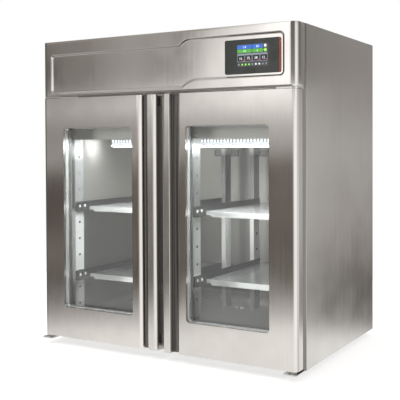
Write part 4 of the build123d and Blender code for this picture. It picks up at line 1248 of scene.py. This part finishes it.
@dataclass
class Trim:
    """Profiles carried round the doors' rectangles: the gaskets' bellows and the bright edges of the spacers.

    The bellows' half profile is in millimetres, from its outer edge in and from the door's back.
    """

    half: tuple[Pair, ...] = (
        (1, 0), (0, 1), (0, 3), (0.9, 4), (2.8, 4.3), (3.5, 5.3), (2.4, 6.3), (2.1, 7), (2.4, 7.7), (3.5, 8.7),
        (1.4, 9.5), (0.4, 10.3), (0, 11.6), (0.1, 13.4), (0.7, 14.4), (1.8, 14.7), (4.5, 14.7), (5.2, 14.2),
    )
    width: float = 0.014
    inset: float = 0.0118
    proud: float = 0.0001
    edge: tuple[float, float, float, float] = (0.0, 0.0026, 0.0003, 0.0009)
    edge_radius: float = 0.0002

    def carried(self, profile: Array, low: Vector, high: Vector) -> Form:
        """A closed profile carried round a rectangle with mitred corners.

        A profile point (w, d) goes round at the rectangle drawn in by w, at the depth y = low.y + d.

        Args:
            profile: rows of w and d, in order.
            low: the box's low corner.
            high: the box's high corner.

        Returns:
            The closed frame.
        """
        w, d = profile[:, :1], profile[:, 1:]
        x = np.hstack([low.x + w, high.x - w, high.x - w, low.x + w])
        z = np.hstack([low.z + w, low.z + w, high.z - w, high.z - w])
        return grid(np.stack([x, np.repeat(low.y + d, 4, axis=1), z], axis=2), True, True)

    def bellows(self) -> Array:
        """The gasket's profile, the half and its mirror image: a base, one fold and a soft head."""
        half = np.array(self.half) / 1000.0
        return np.vstack([half, (half * (-1, 1) + (self.width, 0.0))[::-1]])

    def build(self) -> None:
        """Builds each door's gasket in place of the model's, and its spacer's bright edge."""
        band = box_outline(*self.edge, self.edge_radius, 3)
        for body in (Body.LEFT_DOOR, Body.RIGHT_DOOR):
            side = body.value.removesuffix("_door")
            form = self.carried(self.bellows(), *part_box(f"{side}_door_gasket"))
            gasket = add_piece(f"{side}_gasket_bellows", form, "gasket_rubber", body=body, sharp=50.0)
            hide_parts(f"{side}_door_gasket")
            low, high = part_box(f"{side}_glass_spacer")
            low = low + Vector((self.inset, -self.proud, self.inset))
            high = high - Vector((self.inset, 0, self.inset))
            add_piece(f"{side}_spacer_edge", self.carried(band, low, high), "bright_steel", body=body)


@dataclass
class Fasteners:
    """The screws that hold the sheets and the hinge plates, and the gland's fluted nut."""

    radius: float = 0.0042
    height: float = 0.0022
    flat_height: float = 0.0009
    small: Pair = (0.0027, 0.0016)
    edge: float = 0.014
    back_inset: float = 0.0012
    back_ends: float = 0.035
    back_row: float = 0.52
    back_shift: float = 0.02
    cover_margins: tuple[float, float, float] = (0.02, 0.018, 0.02)
    top_hinge: tuple[float, ...] = (0.643, 0.667, 0.714)
    top_hinge_depth: float = -0.4115
    bottom_hinge: tuple[float, ...] = (0.673, 0.692)
    bottom_hinge_level: float = 0.0398
    lip: float = 0.004
    nut: tuple[Pair, ...] = (
        (0.0065, 0.0), (0.0145, 0.0), (0.0148, 0.0006), (0.0148, 0.0026), (0.0135, 0.0034), (0.008, 0.0036),
        (0.0065, 0.0028),
    )
    flutes: int = 20
    swell: float = 0.035
    rim: float = 0.013

    def row(self, start: Place, end: Place, count: int, facing: Array) -> Form:
        """Evenly spaced heads along a line from start to end."""
        return screw_head(self.radius, self.height).turned(facing).at(np.linspace(start, end, count))

    def on_back(self) -> Form:
        """The heads down both edges of the back panel and along its top and bottom.

        Returns:
            The heads.
        """
        low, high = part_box("back_panel")
        x, y, z0, z1 = high.x - self.edge, low.y + self.back_inset, low.z + self.back_ends, high.z - self.back_ends
        rows = [self.row((side * x, y, z0), (side * x, y, z1), 7, FACING_BACK) for side in (-1, 1)]
        for z in (z0 - self.back_shift, z1 + self.back_shift):
            rows.append(self.row((-self.back_row, y, z), (self.back_row, y, z), 5, FACING_BACK))
        return joined(rows)

    def on_cover(self) -> Form:
        """The heads along the foot and the head of the evaporator cover's front.

        Returns:
            The heads.
        """
        low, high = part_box("evaporator_cover")
        side, under, over = self.cover_margins
        x = high.x - side
        levels = (low.z + under, high.z - over)
        return joined([self.row((-x, low.y, z), (x, low.y, z), 6, FACING_FRONT) for z in levels])

    def on_hinges(self) -> Form:
        """Flat heads under the top hinge plates and small ones on the lips of the bottom plates.

        Returns:
            The heads.
        """
        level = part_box("top_hinge_brackets")[0].z
        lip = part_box("bottom_hinge_brackets")[1].y - self.lip
        flat = screw_head(self.radius, self.flat_height).turned(FACING_DOWN)
        small = screw_head(*self.small).turned(FACING_FRONT)
        upper = [(side * x, self.top_hinge_depth, level) for side in (-1, 1) for x in self.top_hinge]
        lower = [(side * x, lip, self.bottom_hinge_level) for side in (-1, 1) for x in self.bottom_hinge]
        return flat.at(upper) + small.at(lower)

    def fluted_nut(self) -> Form:
        """The gland's nut: a closed lathe profile whose radius swells by the cosine of 20 a round its rim.

        Returns:
            The nut, open in the middle.
        """
        turns = 6 * self.flutes
        points = lathe(self.nut, turns).points
        angle, reach = np.arctan2(points[:, 1], points[:, 0]), np.hypot(points[:, 0], points[:, 1])
        points[:, :2] *= (1 + self.swell * np.cos(self.flutes * angle) * (reach > self.rim))[:, None]
        low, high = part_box("cord_gland")
        nut = grid(points.reshape(-1, turns, 3), True, True)
        return nut.turned(FACING_BACK).at([(low.x + high.x) / 2, high.y, (low.z + high.z) / 2])

    def build(self) -> None:
        """Builds the screws sheet by sheet, then the nut."""
        add_piece("back_screws", self.on_back(), "bright_steel")
        add_piece("cover_screws", self.on_cover(), "bright_steel")
        add_piece("hinge_screws", self.on_hinges(), "bright_steel")
        add_piece("gland_nut", self.fluted_nut(), "black_plastic")


# What the steel reflects: rows of elevation in degrees and brightness, for each part of the surroundings.
BELOW = [(-80, 0.05), (-66, 0.12)]
FRONT_LEFT = [
    *BELOW, (-54, 0.5), (-42, 0.48), (-32, 0.5), (-22, 0.9), (-16, 1.1), (-13.6, 1.35), (-12.7, 0.58),
    (-11.9, 0.42), (-11, 0.17), (-10.2, 0.06), (-8, 0.27), (-5.5, 0.12), (-2.8, 0.11), (-1.9, 0.19), (-1, 0.75),
    (0.3, 0.27), (1.6, 0.33), (2.5, 0.85), (4.2, 0.13), (4.7, 0.13), (9.2, 0.34), (30, 0.5), (60, 1),
]
FRONT_RIGHT = [
    *BELOW, (-54, 0.5), (-42, 0.48), (-32, 0.5), (-22, 1.0), (-16, 1.2), (-13.6, 1.28), (-12.7, 0.62),
    (-11.9, 0.58), (-11, 0.25), (-10.2, 0.14), (-9, 0.1), (-8, 0.13), (-5.5, 0.21), (-2.8, 0.19), (-1.9, 0.14),
    (-1, 0.23), (0.3, 0.75), (1.6, 0.42), (2.5, 1.03), (4, 1.73), (9.2, 0.9), (30, 0.7), (60, 1),
]
CORNER = [
    *BELOW, (-54, 0.4), (-32, 0.6), (-24, 1.0), (-14, 1.42), (-8, 1.28), (-3, 1.4), (3, 1.45), (9, 1.15), (20, 0.9),
    (60, 1.0),
]
SIDE = [*BELOW, (-54, 0.4), (-32, 0.6), (-18, 0.85), (-6, 0.95), (0, 0.8), (5, 0.9), (20, 0.7), (60, 1.0)]
FLANK = [
    *BELOW, (-54, 0.5), (-42, 0.5), (-32, 0.5), (-18, 1.1), (-14.4, 1.3), (-13.6, 0.62), (-12.9, 0.15),
    (-12.2, 0.1), (-11.5, 0.08), (-10.8, 0.08), (-9.7, 0.1), (-8.6, 0.2), (-6.4, 0.3), (-4.1, 0.38), (-0.4, 0.5),
    (3.2, 0.36), (9, 0.42), (30, 0.6), (60, 1),
]


def raised(angle: Array | float) -> Array | float:
    """The place of an elevation in degrees between straight down, 0, and straight up, 1: (1 + sin) / 2."""
    return 0.5 + 0.5 * np.sin(np.radians(angle))


def stops_of(table: list[Pair]) -> Stops:
    """A table of the surroundings as a ramp's stops, warmer where it is dark.

    Below 1 the green and the blue share of the brightness fall with it, and below a half they fall faster.

    Args:
        table: rows of elevation in degrees and brightness.

    Returns:
        The stops.
    """
    angles, light = np.array(table, float).T
    dim, dark = np.clip(1 - light, 0, 1), np.clip(1 - light / 0.5, 0, 1)
    green, blue = 0.985 - 0.035 * dim - 0.13 * dark, 0.965 - 0.075 * dim - 0.2 * dark
    colours = np.column_stack([light, light * green, light * blue])
    return list(zip(raised(angles).tolist(), map(tuple, colours.tolist())))


def placing(side: Array, over: Array, back: Array, place: Place) -> Matrix:
    """The matrix of an object that stands at a place with its X, Y and Z along three directions."""
    return Matrix([*np.column_stack([side, over, back, place]).tolist(), [0.0, 0.0, 0.0, 1.0]])


@dataclass
class Studio:
    """The floor, the surroundings that the steel reflects, the lamps and the camera."""

    floor_reach: tuple[float, float, float, float] = (-2.3, 2.2, -2.1, 2.1)
    bright: Colour = (1.85, 1.83, 1.8)
    half_lit: Colour = (0.56, 0.535, 0.52)
    shaded: Colour = (0.16, 0.15, 0.14)
    dim: Colour = (0.2, 0.19, 0.185)
    cool: Colour = (0.93, 0.97, 1.0)
    lens: float = 68.65
    shift: Pair = (-0.1, -0.0995)
    camera_place: Place = (2.1052, -3.48, 1.0346)
    yaw: float = 28.95
    pitch: float = 1.15
    roll: float = -0.2

    def build(self) -> None:
        """Builds the whole studio."""
        self.lay_floor()
        self.surround()
        self.hang_lamps()
        self.set_camera()

    def lay_floor(self) -> None:
        """Lays the pale floor, which leaves the steel's reflections to the surroundings."""
        x0, x1, y0, y1 = self.floor_reach
        mesh = bpy.data.meshes.new("studio_floor")
        mesh.from_pydata([(x0, y0, 0), (x1, y0, 0), (x1, y1, 0), (x0, y1, 0)], [], [(0, 1, 2, 3)])
        mesh.materials.append(material_of("studio_floor"))
        floor = bpy.data.objects.new("studio_floor", mesh)
        bpy.context.scene.collection.objects.link(floor)
        floor.visible_glossy = False

    def surround(self) -> None:
        """Sets what lies round the cabinet, by the direction's elevation and its azimuth.

        The elevation goes by its sine. The azimuth is 0 to the front, grows to the right and is 180 to the back.
        Tables give the brightness of the front's left and right parts, the part beyond the right corner, the right
        side and the right flank. Over them lie a bright and a half-lit field high in the front, a shaded one beyond
        the left corner and a dim one high to the right. The camera itself sees white.
        """
        world = bpy.data.worlds.new("studio")
        bpy.context.scene.world = world
        world.use_nodes = True
        graph = Graph(world.node_tree)
        parts = graph.add("SeparateXYZ", {0: graph.add("TexCoord").outputs["Generated"]}).outputs
        height = graph.math("MULTIPLY_ADD", parts["Z"], 0.5, 0.5)
        ahead = graph.math("MULTIPLY", parts["Y"], -1.0)
        turn = graph.math("MULTIPLY", graph.math("ARCTAN2", parts["X"], ahead), 180 / math.pi)
        tables = (FRONT_LEFT, FRONT_RIGHT, CORNER, SIDE, FLANK)
        left, right, corner, side, flank = (graph.ramp(height, stops_of(table)) for table in tables)
        upper = graph.span(height, raised(3.9), raised(4.9))
        lower = graph.span(height, raised(-13.0), raised(-10.5))
        not_high = graph.span(height, raised(10.0), raised(22.0), 1.0, 0.0)

        high_share = graph.product(upper, graph.span(turn, -32.7, -31.0))
        low_share = graph.product(graph.math("SUBTRACT", 1.0, upper), graph.span(turn, -45.0, -27.0))
        front = graph.mix(graph.math("ADD", high_share, low_share), left, right)
        front = graph.mix(graph.product(upper, graph.span(turn, -30.5, -26.5)), front, self.bright)
        glow = graph.product(upper, graph.span(turn, -41.0, -37.0), graph.span(turn, -36.5, -34.5, 1.0, 0.0))
        front = graph.mix(glow, front, self.half_lit)
        beside = graph.product(graph.span(turn, -62.0, -50.0, 1.0, 0.0), graph.span(turn, -130.0, -112.0))
        front = graph.mix(graph.product(lower, not_high, beside), front, self.shaded)
        corner = graph.mix(graph.span(turn, 74.0, 96.0), corner, side)
        colour = graph.mix(graph.span(turn, -17.0, 34.0), front, corner)
        dark = graph.math("MAXIMUM", graph.span(turn, 38.0, 52.0, 1.0, 0.0), graph.span(turn, 100.0, 116.0))
        dark = graph.product(dark, upper, graph.span(turn, -24.0, -19.0))
        colour = graph.mix(dark, colour, self.dim)
        colour = graph.mix(graph.span(turn, 151.0, 158.5), colour, flank)
        colour = graph.mix(graph.seen(), colour, WHITE)
        graph.show(graph.add("Background", {"Color": colour, "Strength": 1.0}).outputs[0], "OutputWorld")

    def hang_lamps(self) -> None:
        """Hangs one soft lamp over the front and three cool ones in the chamber, the first as its lamp bar."""
        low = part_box("led_lenses")[0]
        self.lamp("overhead", (-0.8, -2.6, 3.2), (0.0, 0.0, 0.6), (2.6, 1.6), 28.0, WHITE)
        bar, aim = (0.0, low.y - 0.004, low.z - 0.004), (0.0, low.y - 0.12, 0.5)
        self.lamp("chamber", bar, aim, (0.98, 0.04), 17.0, self.cool, gloss=True)
        self.lamp("lamp_end", (-0.6, -0.16, 1.05), (-0.688, -0.18, 0.98), (0.04, 0.08), 2.6, self.cool)
        self.lamp("door_side", (0.0, -0.39, 1.04), (0.0, -0.22, 0.5), (1.2, 0.03), 6.0, self.cool)

    def lamp(
        self, name: str, place: Place, aim: Place, size: Pair, power: float, colour: Colour, gloss: bool = False
    ) -> None:
        """Hangs a rectangular lamp.

        Args:
            name: the lamp's name.
            place: where it hangs.
            aim: the point that it faces.
            size: its two sides.
            power: its power in watts.
            colour: its light's colour.
            gloss: whether it shows in reflections.
        """
        data = bpy.data.lights.new(name, "AREA")
        data.shape, data.energy, data.color = "RECTANGLE", power, colour
        data.size, data.size_y = size
        lamp = bpy.data.objects.new(name, data)
        bpy.context.scene.collection.objects.link(lamp)
        ahead = np.subtract(aim, place) / np.linalg.norm(np.subtract(aim, place))
        side = np.cross(ahead, UP) / np.linalg.norm(np.cross(ahead, UP))
        lamp.matrix_world = placing(side, np.cross(side, ahead), -ahead, place)
        lamp.visible_camera = False
        lamp.visible_glossy = gloss

    def set_camera(self) -> None:
        """Puts the camera at the viewing angle, from its yaw, pitch and roll in turn."""
        yaw, pitch, roll = (math.radians(a) for a in (self.yaw, self.pitch, self.roll))
        level = math.cos(yaw) * AWAY - math.sin(yaw) * RIGHT
        right = math.cos(yaw) * RIGHT + math.sin(yaw) * AWAY
        ahead = math.cos(pitch) * level - math.sin(pitch) * UP
        over = math.sin(pitch) * level + math.cos(pitch) * UP
        side = math.cos(roll) * right + math.sin(roll) * over
        top = math.cos(roll) * over - math.sin(roll) * right
        data = bpy.data.cameras.new("camera")
        data.lens, data.sensor_width, data.clip_end = self.lens, 36.0, 100.0
        data.shift_x, data.shift_y = self.shift
        camera = bpy.data.objects.new("camera", data)
        bpy.context.scene.collection.objects.link(camera)
        camera.matrix_world = placing(side, top, -ahead, self.camera_place)
        bpy.context.scene.camera = camera


def main() -> None:
    """Builds the scene in order."""
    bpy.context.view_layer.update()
    logging.basicConfig(level=logging.INFO, format="%(message)s")
    dress_nodes()
    for assembly in (Header(), Screen(), Lamp(), Racking(), Trim(), Fasteners(), Studio()):
        LOG.info("building %s", type(assembly).__name__)
        assembly.build()
    bpy.context.scene.view_settings.view_transform = "Standard"


if __name__ == "__main__":
    main()
